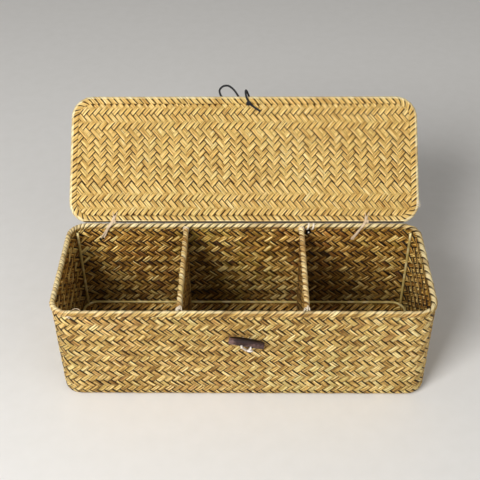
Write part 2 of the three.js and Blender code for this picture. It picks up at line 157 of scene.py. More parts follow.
class Graph:
    """A node tree and the one method that adds its nodes."""

    def __init__(self, tree: bpy.types.NodeTree) -> None:
        """Takes over an empty tree."""
        self.tree = tree

    def node(
        self,
        kind: str,
        settings: dict[str, object],
        inputs: dict[int | str, object],
        output: int | str = 0,
    ) -> Wire:
        """Adds a node.

        Args:
            kind: the node's type.
            settings: its own properties, or the stops of a ramp, set before its sockets.
            inputs: a wire or a value for each socket, by number or by name.
            output: the socket that comes back, by number or by name.

        Returns:
            The wire of that output.
        """
        made = self.tree.nodes.new(kind)
        for name, value in settings.items():
            if name == "stops":
                self._set_stops(made.color_ramp, value)
            else:
                setattr(made, name, value)
        for key, value in inputs.items():
            socket = self._socket(made.inputs, key)
            if isinstance(value, Wire):
                self.tree.links.new(value.socket, socket)
            else:
                socket.default_value = value
        return Wire(self, self._socket(made.outputs, output))

    @staticmethod
    def _set_stops(ramp: bpy.types.ColorRamp, stops: Sequence[tuple[float, tuple]]) -> None:
        """Gives a ramp its stops.

        Args:
            ramp: the ramp.
            stops: position and colour of each.
        """
        while len(ramp.elements) < len(stops):
            ramp.elements.new(1.0)
        for element, (position, colour) in zip(ramp.elements, stops):
            element.position = position
            element.color = colour

    @staticmethod
    def _socket(sockets: Sequence[bpy.types.NodeSocket], key: int | str) -> bpy.types.NodeSocket:
        """Finds a socket by its number, or the first one in use that has the name.

        Args:
            sockets: the sockets of a node.
            key: number or name.

        Returns:
            The socket.
        """
        if isinstance(key, int):
            return sockets[key]
        return next(socket for socket in sockets if socket.name == key and socket.enabled)

    def end(self, kind: str, shader: Wire) -> None:
        """Links a shader to a new output node."""
        output = self.tree.nodes.new(kind)
        self.tree.links.new(shader.socket, output.inputs["Surface"])

    def vector(self, x: Wire | float, y: Wire | float, z: Wire | float) -> Wire:
        """Puts three values into one vector."""
        return self.node("ShaderNodeCombineXYZ", {}, {0: x, 1: y, 2: z})


class SizedTree(Graph):
    """A Geometry Nodes tree with named sizes."""

    def __init__(self, name: str) -> None:
        """Starts an empty tree with its input and output nodes.

        Args:
            name: the tree's name.
        """
        super().__init__(bpy.data.node_groups.new(name, "GeometryNodeTree"))
        self.tree.interface.new_socket("Geometry", in_out="OUTPUT", socket_type="NodeSocketGeometry")
        self.entry = self.tree.nodes.new("NodeGroupInput")
        self.exit = self.tree.nodes.new("NodeGroupOutput")

    def size(self, name: str, kind: str = "Float") -> Wire:
        """Adds a named input of the tree."""
        self.tree.interface.new_socket(name, in_out="INPUT", socket_type=f"NodeSocket{kind}")
        return Wire(self, self.entry.outputs[name])

    def chance(self, number: Wire, seed: Wire, low: float = 0.0, high: float = 1.0) -> Wire:
        """A random value between low and high that belongs to a number."""
        inputs = {2: low, 3: high, "ID": number, "Seed": seed}
        return self.node("FunctionNodeRandomValue", {"data_type": "FLOAT"}, inputs, 1)

    def store(self, geometry: Wire, name: str, value: Wire) -> Wire:
        """Keeps a vector on the points of the geometry under a name."""
        return self.node(
            "GeometryNodeStoreNamedAttribute",
            {"data_type": "FLOAT_VECTOR", "domain": "POINT"},
            {"Geometry": geometry, "Name": name, "Value": value},
        )

    def read(self, name: str) -> tuple[Wire, Wire, Wire]:
        """Reads a stored vector."""
        settings = {"data_type": "FLOAT_VECTOR"}
        return self.node("GeometryNodeInputNamedAttribute", settings, {"Name": name}, "Attribute").parts()

    def block(self, along: int, across: int) -> Wire:
        """A box of two by one by one, cut into as many points along and across, that keeps its own places."""
        cube = self.node(
            "GeometryNodeMeshCube",
            {},
            {"Size": (2.0, 1.0, 1.0), "Vertices X": along, "Vertices Y": across, "Vertices Z": 2},
        )
        return self.store(cube, "local", self.node("GeometryNodeInputPosition", {}, {}))

    def copies(self, points: Wire, chosen: Wire | bool, shape: Wire) -> Wire:
        """Puts a shape on the chosen points."""
        return self.node(
            "GeometryNodeInstanceOnPoints", {}, {"Points": points, "Selection": chosen, "Instance": shape}
        )

    def points(self, count: Wire, **vectors: Wire) -> Wire:
        """Makes loose points that keep a vector under each name.

        Args:
            count: how many points.
            vectors: the value for each name.

        Returns:
            The points.
        """
        made = self.node("GeometryNodePoints", {}, {"Count": count})
        for name, value in vectors.items():
            made = self.store(made, name, value)
        return made

    def close(self, instances: Wire, shape: Callable[[Wire], Wire], material: Wire) -> None:
        """Ends the tree: real copies, shaped point by point, with their material.

        Args:
            instances: the copies.
            shape: gives the shaped geometry from the realised one.
            material: the material input.
        """
        real = shape(self.node("GeometryNodeRealizeInstances", {}, {"Geometry": instances}))
        smooth = self.node("GeometryNodeSetShadeSmooth", {}, {"Geometry": real})
        last = self.node("GeometryNodeSetMaterial", {}, {"Geometry": smooth, "Material": material})
        self.tree.links.new(last.socket, self.exit.inputs[0])


EDGE_PULL = 1.44
ARCH = 0.3


def plait_tree() -> bpy.types.NodeTree:
    """Builds the tree of a slanted twill: each float of a strip over its crossings is one raised tile.

    A strip of the first set runs up to the right, one of the second up to the left. Crossing i, j is
    where strip i of the second set meets strip j of the first. Near the low and high edge of the
    sheet the floats stand in rows, and in columns between.

    Returns:
        The tree.
    """
    tree = SizedTree("slanted twill")
    columns = tree.size("Columns", "Int")
    rows = tree.size("Rows", "Int")
    half_step = tree.size("Half step across")
    half_rise = tree.size("Half step up")
    border = tree.size("Rows in the border", "Int")
    endless = tree.size("Endless", "Int")
    wander = tree.size("Wander of the strips")
    cover = tree.size("Cover")
    thickness = tree.size("Strip thickness")
    crown = tree.size("Crown")
    dive = tree.size("Dive")
    painted_set_shade = tree.size("Contrast of the sets")
    seed = tree.size("Seed", "Int")
    material = tree.size("Material", "Material")

    overlap, sinking = 0.2, 0.38
    strip_narrowing, float_narrowing = 0.1, 0.12
    side_tilt, end_tilt = 0.9, 0.3
    lift_range, lift_drop = 0.3, 0.15

    index = tree.node("GeometryNodeInputIndex", {}, {})
    level = index // columns
    sideways = 2 * (index % columns) + level % 2
    i = (level + sideways) / 2
    j = (level - sideways) / 2

    def in_sheet(i: Wire, j: Wire) -> Wire:
        """One where a crossing lies in the sheet, otherwise zero."""
        up = i + j
        across = i - j
        in_height = (up > -0.5) * (up < rows - 0.5)
        in_width = (across > -0.5) * (across < 2 * columns - 0.5)
        return in_height * in_width.largest(endless)

    def at_edge(i: Wire, j: Wire) -> Wire:
        """One in the low and the high border, otherwise zero."""
        up = i + j
        return (up < border - 0.5).largest(up > rows - border - 0.5)

    def first_set_up(i: Wire, j: Wire) -> Wire:
        """One where the strip of the first set lies on top, otherwise zero."""
        in_rows = (i + j) % 4 < 1.5
        in_columns = (i - j) % 4 < 1.5
        return at_edge(i, j) * in_rows + (1 - at_edge(i, j)) * in_columns

    def on_top(i: Wire, j: Wire, second: bool) -> Wire:
        """One where the strip of one set lies on top, otherwise zero."""
        up = first_set_up(i, j)
        return in_sheet(i, j) * (1 - up if second else up)

    def edge_of(strip: Wire, number: int) -> Wire:
        """Place of the edge between a strip and the one before it."""
        return strip + wander * tree.chance(strip % columns, seed + number, -0.5, 0.5)

    def floats(second: bool) -> Wire:
        """Puts a tile wherever a float of one set begins, and stores its four edges."""
        def ahead(steps: int) -> Wire:
            """Whether the strip is on top some crossings further along."""
            return on_top(i, j + steps, True) if second else on_top(i + steps, j, False)

        starts = ahead(0) * (1 - ahead(-1))
        more = ahead(1)
        yet_more = more * ahead(2)
        run = 1 + more + yet_more + yet_more * ahead(3)
        along, strip = (j, i) if second else (i, j)
        ends, sides = (2, 1) if second else (1, 2)
        tag = strip % columns + (columns if second else 0)
        sense = 2 * at_edge(i, j) - 1 if second else 1.0
        span = tree.vector(edge_of(along, ends), edge_of(along + run, ends), sense)
        side = tree.vector(edge_of(strip, sides), edge_of(strip + 1, sides), tag)
        # Painted light and shade: the floats of one set are made paler than those of the other.
        own_chance = tree.chance(index, seed + 4 + second) + painted_set_shade * (0.5 if second else -0.5)
        strip_chance = 0.6 * tree.chance(tag, seed + 3) + 0.4 * (strip % 2)
        tone = tree.vector(strip_chance, own_chance, tree.chance(index, seed + 7 + second))
        points = tree.points(rows * columns, span=span, side=side, tone=tone)
        return tree.copies(points, starts, tree.block(5, 4))

    def shape(real: Wire) -> Wire:
        """Bends each tile to its float: round across, its ends drawn under."""
        l, w, b = tree.read("local")
        start, end, sense = tree.read("span")
        low, high, tag = tree.read("side")
        second = tag > columns - 0.5
        strip_chance, own_chance, other_chance = tree.read("tone")
        along_share = l.crowded(0.42, 1.0)
        across_share = w.crowded(EDGE_PULL, 0.5)
        reach = (end - start) / 2 + overlap
        along = (start + end) / 2 + along_share * reach
        from_end = (1 - abs(along_share)) * reach
        rise = (from_end / sinking).held()
        narrowing = cover - strip_narrowing * tree.chance(tag, seed + 11) - float_narrowing * other_chance
        width = (high - low) * narrowing
        turned = 1 - 2 * second
        across = (low + high) / 2 + turned * across_share * width
        tilt = across_share * (other_chance - 0.5) * side_tilt + along_share * (own_chance - 0.5) * end_tilt
        lift = (tree.chance(tag, seed + 12) - 0.5) * lift_range - lift_drop
        flat = 4 * across_share * across_share
        round_top = crown * (1 - flat * flat) + ARCH * (1 - along_share * along_share)
        height = (dive + lift + round_top + tilt) * rise - dive - (0.5 - b) * thickness
        u = along * (1 - second) + across * second
        v = across * (1 - second) + along * second
        place = tree.vector((u - v) * half_step, (u + v) * half_rise, height)
        cell = (half_step * half_step + half_rise * half_rise).root()
        grain = tree.vector(along * cell, across_share * sense, from_end)
        shaped = tree.node("GeometryNodeSetPosition", {}, {"Geometry": real, "Position": place})
        return tree.store(shaped, "grain", grain)

    both = tree.node("GeometryNodeJoinGeometry", {}, {0: floats(False)})
    tree.tree.links.new(floats(True).socket, both.socket.node.inputs[0])
    tree.close(both, shape, material)
    return tree.tree


def fold_tree() -> bpy.types.NodeTree:
    """Builds the tree of a folded edge: slanted strips side by side, each lapping over the next.

    Returns:
        The tree.
    """
    tree = SizedTree("folded strips")
    count = tree.size("Strips", "Int")
    spacing = tree.size("Spacing")
    travel = tree.size("Length of the fold")
    slant = tree.size("Slant")
    lap = tree.size("Lap")
    notch = tree.size("Notch")
    closed = tree.size("Closed part")
    closed_middle = tree.size("Middle of the closed part")
    sink = tree.size("Sinking length")
    thickness = tree.size("Strip thickness")
    rise = tree.size("Rise")
    wander = tree.size("Wander of the strips")
    seed = tree.size("Seed", "Int")
    material = tree.size("Material", "Material")

    fade, open_end = 0.12, 0.95
    lift_range = 0.25

    index = tree.node("GeometryNodeInputIndex", {}, {})
    tone = tree.vector(*(tree.chance(index, seed + number) for number in (1, 2, 3)))
    own_shift = tree.chance(index, seed + 4, -0.5, 0.5)
    next_shift = tree.chance((index + 1) % count, seed + 4, -0.5, 0.5)
    points = tree.points(count, tone=tone, span=tree.vector(index, own_shift, next_shift))

    def shape(real: Wire) -> Wire:
        """Lays each strip in its slanted place over the edge."""
        l, w, b = tree.read("local")
        number, here, ahead = tree.read("span")
        own_chance = tree.read("tone")[1]
        across_share = w.crowded(EDGE_PULL, 0.5)
        share = (l + 1) / 2
        opening = ((abs(l - closed_middle) - closed) / fade).held()
        opening = opening * ((open_end - abs(l)) / (open_end - fade - closed)).held()
        width = spacing * (lap - notch * opening + wander * (ahead - here))
        middle = (number + 0.5 + wander * (here + ahead) / 2) * spacing
        from_end = (1 - abs(l)) * travel / 2
        up = (from_end / sink).held()
        across = middle + slant * (share - 0.5) + across_share * width
        round_top = ARCH * (1 - 4 * across_share * across_share)
        raised = rise * (0.5 - across_share) + round_top + lift_range * own_chance
        height = raised * up - (1 - up) * thickness - (0.5 - b) * thickness
        place = tree.vector(across, share * travel, height)
        shaped = tree.node("GeometryNodeSetPosition", {}, {"Geometry": real, "Position": place})
        return tree.store(shaped, "grain", tree.vector(share * travel, 0 - across_share, from_end))

    tree.close(tree.copies(points, True, tree.block(12, 4)), shape, material)
    return tree.tree


def settle(piece: Piece) -> None:
    """Makes what a piece's modifiers show its plain mesh, and removes them.

    Args:
        piece: the piece.
    """
    bpy.context.view_layer.update()
    evaluated = piece.evaluated_get(bpy.context.evaluated_depsgraph_get())
    plain = bpy.data.meshes.new_from_object(evaluated)
    before = piece.data
    piece.modifiers.clear()
    piece.data = plain
    bpy.data.meshes.remove(before)
    plain.name = piece.name


def realised(name: str, tree: bpy.types.NodeTree, sizes: dict[str, object], place: Place) -> Piece:
    """Runs a tree, makes its result a plain mesh, and puts its points in place.

    Args:
        name: the piece's name.
        tree: the Geometry Nodes tree.
        sizes: its named inputs.
        place: gives places in the frame, in millimetres, for the tree's points.

    Returns:
        The piece.
    """
    piece = bpy.data.objects.new(name, bpy.data.meshes.new(name))
    bpy.context.scene.collection.objects.link(piece)
    modifier = piece.modifiers.new("strips", "NODES")
    modifier.node_group = tree
    for item in tree.interface.items_tree:
        if item.in_out == "INPUT":
            modifier[item.identifier] = sizes[item.name]
    settle(piece)
    plain = piece.data
    for used in ("local", "span", "side"):
        if used in plain.attributes:
            plain.attributes.remove(plain.attributes[used])
    points = np.empty(len(plain.vertices) * 3)
    plain.vertices.foreach_get("co", points)
    placed = place(points.reshape(-1, 3)) * MM
    plain.vertices.foreach_set("co", placed.ravel())
    plain.update()
    log.info("%s: %d faces", name, len(plain.polygons))
    return piece


# Shapes


@dataclass(frozen=True)
class Outline:
    """A rounded rectangle that walls and folded edges follow.

    Attributes:
        length: size along X.
        depth: size along Y.
        corner: radius of its corners.
    """

    length: float
    depth: float
    corner: float

    def girth(self, inset: float) -> float:
        """The way round, a given distance inside the outline."""
        return 2 * (self.length + self.depth) - 8 * self.corner + TURN * (self.corner - inset)

    def legs(self, measured_at: float) -> np.ndarray:
        """Lengths of its sides and bends, from the middle of the front to the right, at an inset.

        Args:
            measured_at: the inset at which they are measured.

        Returns:
            The lengths.
        """
        half_x = self.length / 2 - self.corner
        half_y = self.depth / 2 - self.corner
        bend = TURN / 4 * (self.corner - measured_at)
        return np.array([half_x, bend, 2 * half_y, bend, 2 * half_x, bend, 2 * half_y, bend, half_x])

    def follow(
        self, along: np.ndarray, inset: np.ndarray, measured_at: float
    ) -> tuple[np.ndarray, np.ndarray]:
        """Finds places round the outline, from the middle of the front to the right.

        Args:
            along: distances round it.
            inset: how far inside the outline each place lies.
            measured_at: the inset at which the distances are measured.

        Returns:
            The X and the Y of the places.
        """
        half_x = self.length / 2 - self.corner
        half_y = self.depth / 2 - self.corner
        knots = np.concatenate([[0.0], np.cumsum(self.legs(measured_at))])
        turns = np.array([0, 0, 1, 1, 2, 2, 3, 3, 4, 4]) * TURN / 4
        spine_x = np.array([0, 1, 1, 1, 1, -1, -1, -1, -1, 0]) * half_x
        spine_y = np.array([-1, -1, -1, 1, 1, 1, 1, -1, -1, -1]) * half_y
        travelled = np.mod(along, knots[-1])
        turn = np.interp(travelled, knots, turns)
        x = np.interp(travelled, knots, spine_x) + np.sin(turn) * (self.corner - inset)
        y = np.interp(travelled, knots, spine_y) - np.cos(turn) * (self.corner - inset)
        return x, y

    def tucked(self, x: np.ndarray, y: np.ndarray, inset: float) -> tuple[np.ndarray, np.ndarray, np.ndarray]:
        """Draws places that lie outside back to the outline.

        Args:
            x: their X.
            y: their Y.
            inset: how far inside the outline the limit lies.

        Returns:
            The X and the Y, and how far each place was outside.
        """
        spine_x = np.clip(x, self.corner - self.length / 2, self.length / 2 - self.corner)
        spine_y = np.clip(y, self.corner - self.depth / 2, self.depth / 2 - self.corner)
        reach = np.hypot(x - spine_x, y - spine_y)
        limit = self.corner - inset
        share = np.minimum(1.0, limit / np.maximum(reach, 1e-9))
        x = spine_x + (x - spine_x) * share
        y = spine_y + (y - spine_y) * share
        return x, y, np.maximum(reach - limit, 0.0)


def arc(middle: Flat, radius: float, start: float, end: float, steps: int = 12) -> list[Flat]:
    """Points on an arc across an outline.

    Args:
        middle: inset and height of its centre.
        radius: its radius.
        start: angle of the first point in degrees, from level and outwards towards up.
        end: angle of the last one.
        steps: how many spans it has.

    Returns:
        Inset and height of each point.
    """
    angles = np.radians(np.linspace(start, end, steps + 1))
    return [(middle[0] - radius * math.cos(a), middle[1] + radius * math.sin(a)) for a in angles]


def travelled(path: np.ndarray) -> np.ndarray:
    """Distance of each place on a path from its start."""
    return np.concatenate([[0.0], np.cumsum(np.linalg.norm(np.diff(path, axis=0), axis=1))])


@dataclass(frozen=True)
class Section:
    """The way of a sheet or a fold across an outline.

    Attributes:
        points: its points, each the inset from the outline and the height.
    """

    points: Sequence[Flat]

    @property
    def length(self) -> float:
        """Distance from end to end."""
        return float(travelled(np.array(self.points))[-1])

    def at(self, travel: np.ndarray) -> tuple[np.ndarray, np.ndarray, np.ndarray, np.ndarray]:
        """Finds places on the section.

        Args:
            travel: distances from its first point.

        Returns:
            Inset and height of each place, and the inset and height parts of the way there.
        """
        path = np.array(self.points)
        knots = travelled(path)
        way = np.gradient(path, knots, axis=0)
        way_inset, way_height = (np.interp(travel, knots, way[:, k]) for k in range(2))
        size = np.hypot(way_inset, way_height)
        way_inset, way_height = way_inset / size, way_height / size
        beyond = travel - np.clip(travel, 0.0, knots[-1])
        inset = np.interp(travel, knots, path[:, 0]) + beyond * way_inset
        height = np.interp(travel, knots, path[:, 1]) + beyond * way_height
        return inset, height, way_inset, way_height


class Facing(Enum):
    """The side of a wall that a sheet is laid on."""

    OUTSIDE = 1
    INSIDE = -1


def wrapped(outline: Outline, section: Section, facing: Facing, measured_at: float) -> Place:
    """Lays flat places round an outline.

    Args:
        outline: the outline.
        section: the way across it that the flat Y follows.
        facing: the side that the flat Z points to.
        measured_at: the inset at which the flat X is measured.

    Returns:
        The function that places points.
    """
    side = facing.value

    def place(flat: np.ndarray) -> np.ndarray:
        """Places points round the outline."""
        inset, height, way_inset, way_height = section.at(flat[:, 1])
        inset = inset - side * way_height * flat[:, 2]
        height = height + side * way_inset * flat[:, 2]
        x, y = outline.follow(side * flat[:, 0], inset, measured_at)
        return np.column_stack([x, y, height])

    return place


def then(*steps: Place) -> Place:
    """Puts several placing functions one after the other."""
    def place(points: np.ndarray) -> np.ndarray:
        """Runs every step on the points."""
        for step in steps:
            points = step(points)
        return points

    return place


def plane(origin: Sequence[float], right: Sequence[float], up: Sequence[float]) -> Place:
    """Lays flat places on a plane.

    Args:
        origin: where the flat origin comes to lie.
        right: direction of the flat X.
        up: direction of the flat Y.

    Returns:
        The function that places points.
    """
    axes = np.array([right, up, np.cross(right, up)], dtype=float)
    return lambda flat: np.array(origin, dtype=float) + flat @ axes


def mesh_piece(
    name: str,
    points: np.ndarray,
    faces: Sequence[Sequence[int]],
    material: Material,
    grain: np.ndarray | None = None,
    smooth: bool = True,
) -> Piece:
    """Makes an object of points and faces.

    Args:
        name: the piece's name.
        points: places in millimetres.
        faces: numbers of the points of each face.
        material: its finish.
        grain: three values a point that the finish reads.
        smooth: whether its faces are shaded smooth.

    Returns:
        The piece.
    """
    mesh = bpy.data.meshes.new(name)
    mesh.from_pydata((np.asarray(points) * MM).tolist(), [], [list(face) for face in faces])
    mesh.validate()
    mesh.polygons.foreach_set("use_smooth", [smooth] * len(mesh.polygons))
    if grain is not None:
        stored = mesh.attributes.new("grain", "FLOAT_VECTOR", "POINT")
        stored.data.foreach_set("vector", np.asarray(grain, dtype=float).ravel())
    mesh.materials.append(material)
    piece = bpy.data.objects.new(name, mesh)
    bpy.context.scene.collection.objects.link(piece)
    log.info("%s: %d faces", name, len(mesh.polygons))
    return piece


def ring_faces(rings: int, around: int, closed: bool) -> list[tuple[int, ...]]:
    """Faces of a skin of rings of points, with a cap at each end unless it is closed.

    Args:
        rings: how many rings there are.
        around: how many points a ring has.
        closed: whether the last ring joins the first.

    Returns:
        The faces, each as numbers of points.
    """
    faces: list[tuple[int, ...]] = []
    for ring in range(rings if closed else rings - 1):
        here = ring * around
        ahead = (ring + 1) % rings * around
        for k in range(around):
            beside = (k + 1) % around
            faces.append((here + k, here + beside, ahead + beside, ahead + k))
    if not closed:
        faces.append(tuple(reversed(range(around))))
        faces.append(tuple(range((rings - 1) * around, rings * around)))
    return faces


def shell_piece(
    name: str, outline: Outline, loops: Sequence[Flat], material: Material, place: Place | None = None
) -> Piece:
    """Makes a closed shell of loops that follow an outline, with a flat cap on the first and last.

    Args:
        name: the piece's name.
        outline: the outline.
        loops: inset and height of each loop, from the underside's cap to the upper one.
        material: its finish.
        place: moves the finished points, if given.

    Returns:
        The piece.
    """
    corner_points = 10
    stops = np.cumsum(outline.legs(0.0))
    along = np.concatenate([np.linspace(stops[k], stops[k + 1], corner_points) for k in (0, 2, 4, 6)])
    points = []
    for inset, height in loops:
        x, y = outline.follow(along, np.full(len(along), inset), 0.0)
        points.append(np.column_stack([x, y, np.full(len(along), height)]))
    placed = place(np.concatenate(points)) if place else np.concatenate(points)
    faces = ring_faces(len(loops), len(along), closed=False)
    return mesh_piece(name, placed, faces, material, smooth=False)


def smooth_route(points: Sequence[Sequence[float]], steps: int) -> np.ndarray:
    """Runs one centripetal Catmull-Rom curve through a route.

    Args:
        points: the route.
        steps: points of the curve for each of its spans.

    Returns:
        The places on the curve.
    """
    route = np.array(points, dtype=float)
    route = np.vstack([2 * route[0] - route[1], route, 2 * route[-1] - route[-2]])
    share = np.linspace(0, 1, steps, endpoint=False)[:, None]
    pieces = []
    for before, start, end, after in zip(route, route[1:], route[2:], route[3:]):
        spans = ((before, start), (start, end), (end, after))
        gaps = [max(float(np.linalg.norm(far - near)) ** 0.5, 1e-4) for near, far in spans]
        leave = (start - before) / gaps[0] - (end - before) / (gaps[0] + gaps[1]) + (end - start) / gaps[1]
        arrive = (end - start) / gaps[1] - (after - start) / (gaps[1] + gaps[2]) + (after - end) / gaps[2]
        leave, arrive = leave * gaps[1], arrive * gaps[1]
        cubic = 2 * start - 2 * end + leave + arrive
        square = -3 * start + 3 * end - 2 * leave - arrive
        pieces.append(start + share * (leave + share * (square + share * cubic)))
    return np.vstack(pieces + [route[-2:-1]])


def frames(path: np.ndarray, closed: bool) -> tuple[np.ndarray, np.ndarray, np.ndarray]:
    """Finds the way, side and up directions at each place of a path, without needless twist.

    Args:
        path: the places.
        closed: whether the path joins its own start.

    Returns:
        The three directions, one row a place.
    """
    if closed:
        way = np.roll(path, -1, axis=0) - np.roll(path, 1, axis=0)
    else:
        way = np.gradient(path, axis=0)
    way = way / np.linalg.norm(way, axis=1, keepdims=True)
    side = np.empty_like(way)
    current = np.eye(3)[np.argmin(np.abs(way[0]))]
    for k, direction in enumerate(way):
        current = current - direction * float(current @ direction)
        current = current / np.linalg.norm(current)
        side[k] = current
    return way, side, np.cross(way, side)


NARROWEST_END = 0.02


def kept_values(shape: tuple[int, ...], *values: np.ndarray) -> np.ndarray:
    """Spreads several values over the points of a skin, one row a point."""
    return np.stack([np.broadcast_to(value, shape) for value in values], axis=-1).reshape(-1, len(values))


@dataclass(frozen=True)
class Yarn:
    """A round thing of even thickness that follows a path.

    Attributes:
        radius: its radius.
        sides: points round it.
        lobes: strands that show as ridges along it, or none.
        ridge: how far the ridges stand out, as a share of the radius.
        lay: length of one turn of the strands.
    """

    radius: float
    sides: int = 12
    lobes: int = 0
    ridge: float = 0.0
    lay: float = 1.0

    def run(
        self, name: str, path: np.ndarray, material: Material, closed: bool = False, taper: float = 0.0
    ) -> Piece:
        """Makes a piece along a path.

        Args:
            name: the piece's name.
            path: the places of its middle.
            material: its finish.
            closed: whether it joins its own start.
            taper: length over which each end rounds off.

        Returns:
            The piece.
        """
        _, side, up = frames(path, closed)
        travel = travelled(path)
        angle = np.linspace(0, TURN, self.sides, endpoint=False)
        turned = angle[None, :] + (TURN / self.lay) * travel[:, None]
        radius = self.radius * np.ones_like(turned)
        if self.lobes:
            radius = self.radius * (1 - self.ridge * (1 - np.abs(np.cos(turned * self.lobes / 2))))
        if taper:
            from_end = np.minimum(travel, travel[-1] - travel)
            share = np.clip(from_end / taper, NARROWEST_END, 1.0)
            radius = radius * np.sqrt(share * (2 - share))[:, None]
        out = np.cos(angle)[None, :, None] * side[:, None, :] + np.sin(angle)[None, :, None] * up[:, None, :]
        points = path[:, None, :] + radius[:, :, None] * out
        grain = kept_values(radius.shape, travel[:, None], angle / TURN, turned)
        faces = ring_faces(len(path), self.sides, closed)
        return mesh_piece(name, points.reshape(-1, 3), faces, material, grain)


def ribbon(
    name: str,
    path: np.ndarray,
    outward: np.ndarray,
    width: np.ndarray | float,
    thickness: float,
    material: Material,
    closed: bool = False,
    curl: float = 0.15,
) -> Piece:
    """Makes a flat strip along a path.

    Args:
        name: the piece's name.
        path: the places of its middle.
        outward: the direction that its face looks in at each place.
        width: its width, one value or one a place.
        thickness: its thickness.
        material: its finish.
        closed: whether it joins its own start.
        curl: how far its edges stand off its middle, as a share of the width.

    Returns:
        The piece.
    """
    way, _, _ = frames(path, closed)
    face = outward - way * np.sum(outward * way, axis=1, keepdims=True)
    face = face / np.linalg.norm(face, axis=1, keepdims=True)
    side = np.cross(way, face)
    width = np.broadcast_to(np.asarray(width, dtype=float), (len(path),))
    across = np.array([-0.5, -0.4, 0.0, 0.4, 0.5, 0.4, 0.0, -0.4])
    lift = np.array([0.0, 0.5, 0.5, 0.5, 0.0, -0.5, -0.5, -0.5])
    bow = curl * width[:, None] * (0.25 - across[None, :] ** 2)
    points = (
        path[:, None, :]
        + side[:, None, :] * (across[None, :] * width[:, None])[:, :, None]
        + face[:, None, :] * (lift[None, :] * thickness + bow)[:, :, None]
    )
    grain = kept_values(bow.shape, travelled(path)[:, None], across, np.ones(1))
    faces = ring_faces(len(path), len(across), closed)
    if np.sum(np.cross(side[0], face[0]) * way[0]) > 0:
        faces = [tuple(reversed(corners)) for corners in faces]
    return mesh_piece(name, points.reshape(-1, 3), faces, material, grain)


def belt(discs: Sequence[tuple[Flat, float]], steps: int) -> tuple[np.ndarray, np.ndarray]:
    """Runs a belt round discs.

    Args:
        discs: centre and radius of each.
        steps: how many places it has.

    Returns:
        Places on the belt, anticlockwise, and the outward direction at each.
    """
    angles = np.linspace(0, TURN, 64, endpoint=False)
    points = sorted({(y + r * math.cos(a), z + r * math.sin(a)) for (y, z), r in discs for a in angles})

    def half(ordered: Sequence[Flat]) -> list[Flat]:
        """The lower side of the hull round points that are in order."""
        hull: list[Flat] = []
        for point in ordered:
            while len(hull) > 1 and (
                (hull[-1][0] - hull[-2][0]) * (point[1] - hull[-2][1])
                - (hull[-1][1] - hull[-2][1]) * (point[0] - hull[-2][0])
            ) <= 0:
                hull.pop()
            hull.append(point)
        return hull[:-1]

    hull = np.array(half(points) + half(points[::-1]))
    loop = np.vstack([hull, hull[:1]])
    travel = travelled(loop)
    even = np.linspace(0, travel[-1], steps, endpoint=False)
    path = np.column_stack([np.interp(even, travel, loop[:, k]) for k in range(2)])
    way = np.roll(path, -1, axis=0) - np.roll(path, 1, axis=0)
    way = way / np.linalg.norm(way, axis=1, keepdims=True)
    return path, np.column_stack([way[:, 1], -way[:, 0]])


def joined(name: str, pieces: Sequence[Piece]) -> Piece:
    """Joins several pieces into one.

    Args:
        name: the name of the whole.
        pieces: what is joined.

    Returns:
        The whole.
    """
    first = pieces[0]
    with bpy.context.temp_override(active_object=first, selected_editable_objects=list(pieces)):
        bpy.ops.object.join()
    first.name = name
    first.data.name = name
    return first


# Finishes


class ShaderGraph(Graph):
    """The node tree of a material, with its texture nodes."""

    def __init__(self, name: str) -> None:
        """Makes a new material with an empty tree.

        Args:
            name: the material's name.
        """
        self.material = bpy.data.materials.new(name)
        self.material.use_nodes = True
        super().__init__(self.material.node_tree)
        self.tree.nodes.clear()

    def place(self) -> Wire:
        """The place on the object, in metres."""
        return self.node("ShaderNodeTexCoord", {}, {}, "Object")

    def stored(self, name: str) -> tuple[Wire, Wire, Wire]:
        """The three values that the mesh keeps under a name."""
        return self.node("ShaderNodeAttribute", {"attribute_name": name}, {}, "Vector").parts()

    def noise(self, vector: Wire, scale: float, detail: float = 2.0) -> Wire:
        """Soft noise, mostly between 0.3 and 0.7."""
        return self.node("ShaderNodeTexNoise", {}, {"Vector": vector, "Scale": scale, "Detail": detail})

    def ramp(self, value: Wire, stops: Sequence[tuple[float, tuple]]) -> Wire:
        """Colours by a value."""
        return self.node("ShaderNodeValToRGB", {"stops": stops}, {0: value})

    def mix(self, share: Wire | float, first: Wire | tuple, second: Wire | tuple) -> Wire:
        """Goes from the first colour to the second."""
        inputs = {"Factor": share, "A": first, "B": second}
        return self.node("ShaderNodeMix", {"data_type": "RGBA"}, inputs, "Result")

    def scaled(self, colour: Wire, share: Wire) -> Wire:
        """Makes a colour darker or lighter."""
        return self.node("ShaderNodeVectorMath", {"operation": "SCALE"}, {"Vector": colour, "Scale": share})

    def moved(self, vector: Wire, shift: Spot) -> Wire:
        """Adds a shift to a vector."""
        return self.node("ShaderNodeVectorMath", {"operation": "ADD"}, {0: vector, 1: shift})

    def surface(
        self,
        colour: Wire | tuple,
        roughness: Wire | float,
        height: Wire | None,
        depth: float,
        constants: dict[str, object],
    ) -> Material:
        """Ends the tree in a Principled shader.

        Args:
            colour: its colour.
            roughness: its roughness.
            height: the relief, or none.
            depth: metres that one of the relief stands for.
            constants: values of its other sockets.

        Returns:
            The material.
        """
        inputs: dict[int | str, object] = {"Base Color": colour, "Roughness": roughness, **constants}
        if height is not None:
            bump = {"Height": height, "Distance": depth, "Strength": 1.0}
            inputs["Normal"] = self.node("ShaderNodeBump", {}, bump)
        shader = self.node("ShaderNodeBsdfPrincipled", {}, inputs)
        self.end("ShaderNodeOutputMaterial", shader)
        return self.material


HALF_WAY_UP = 60.0


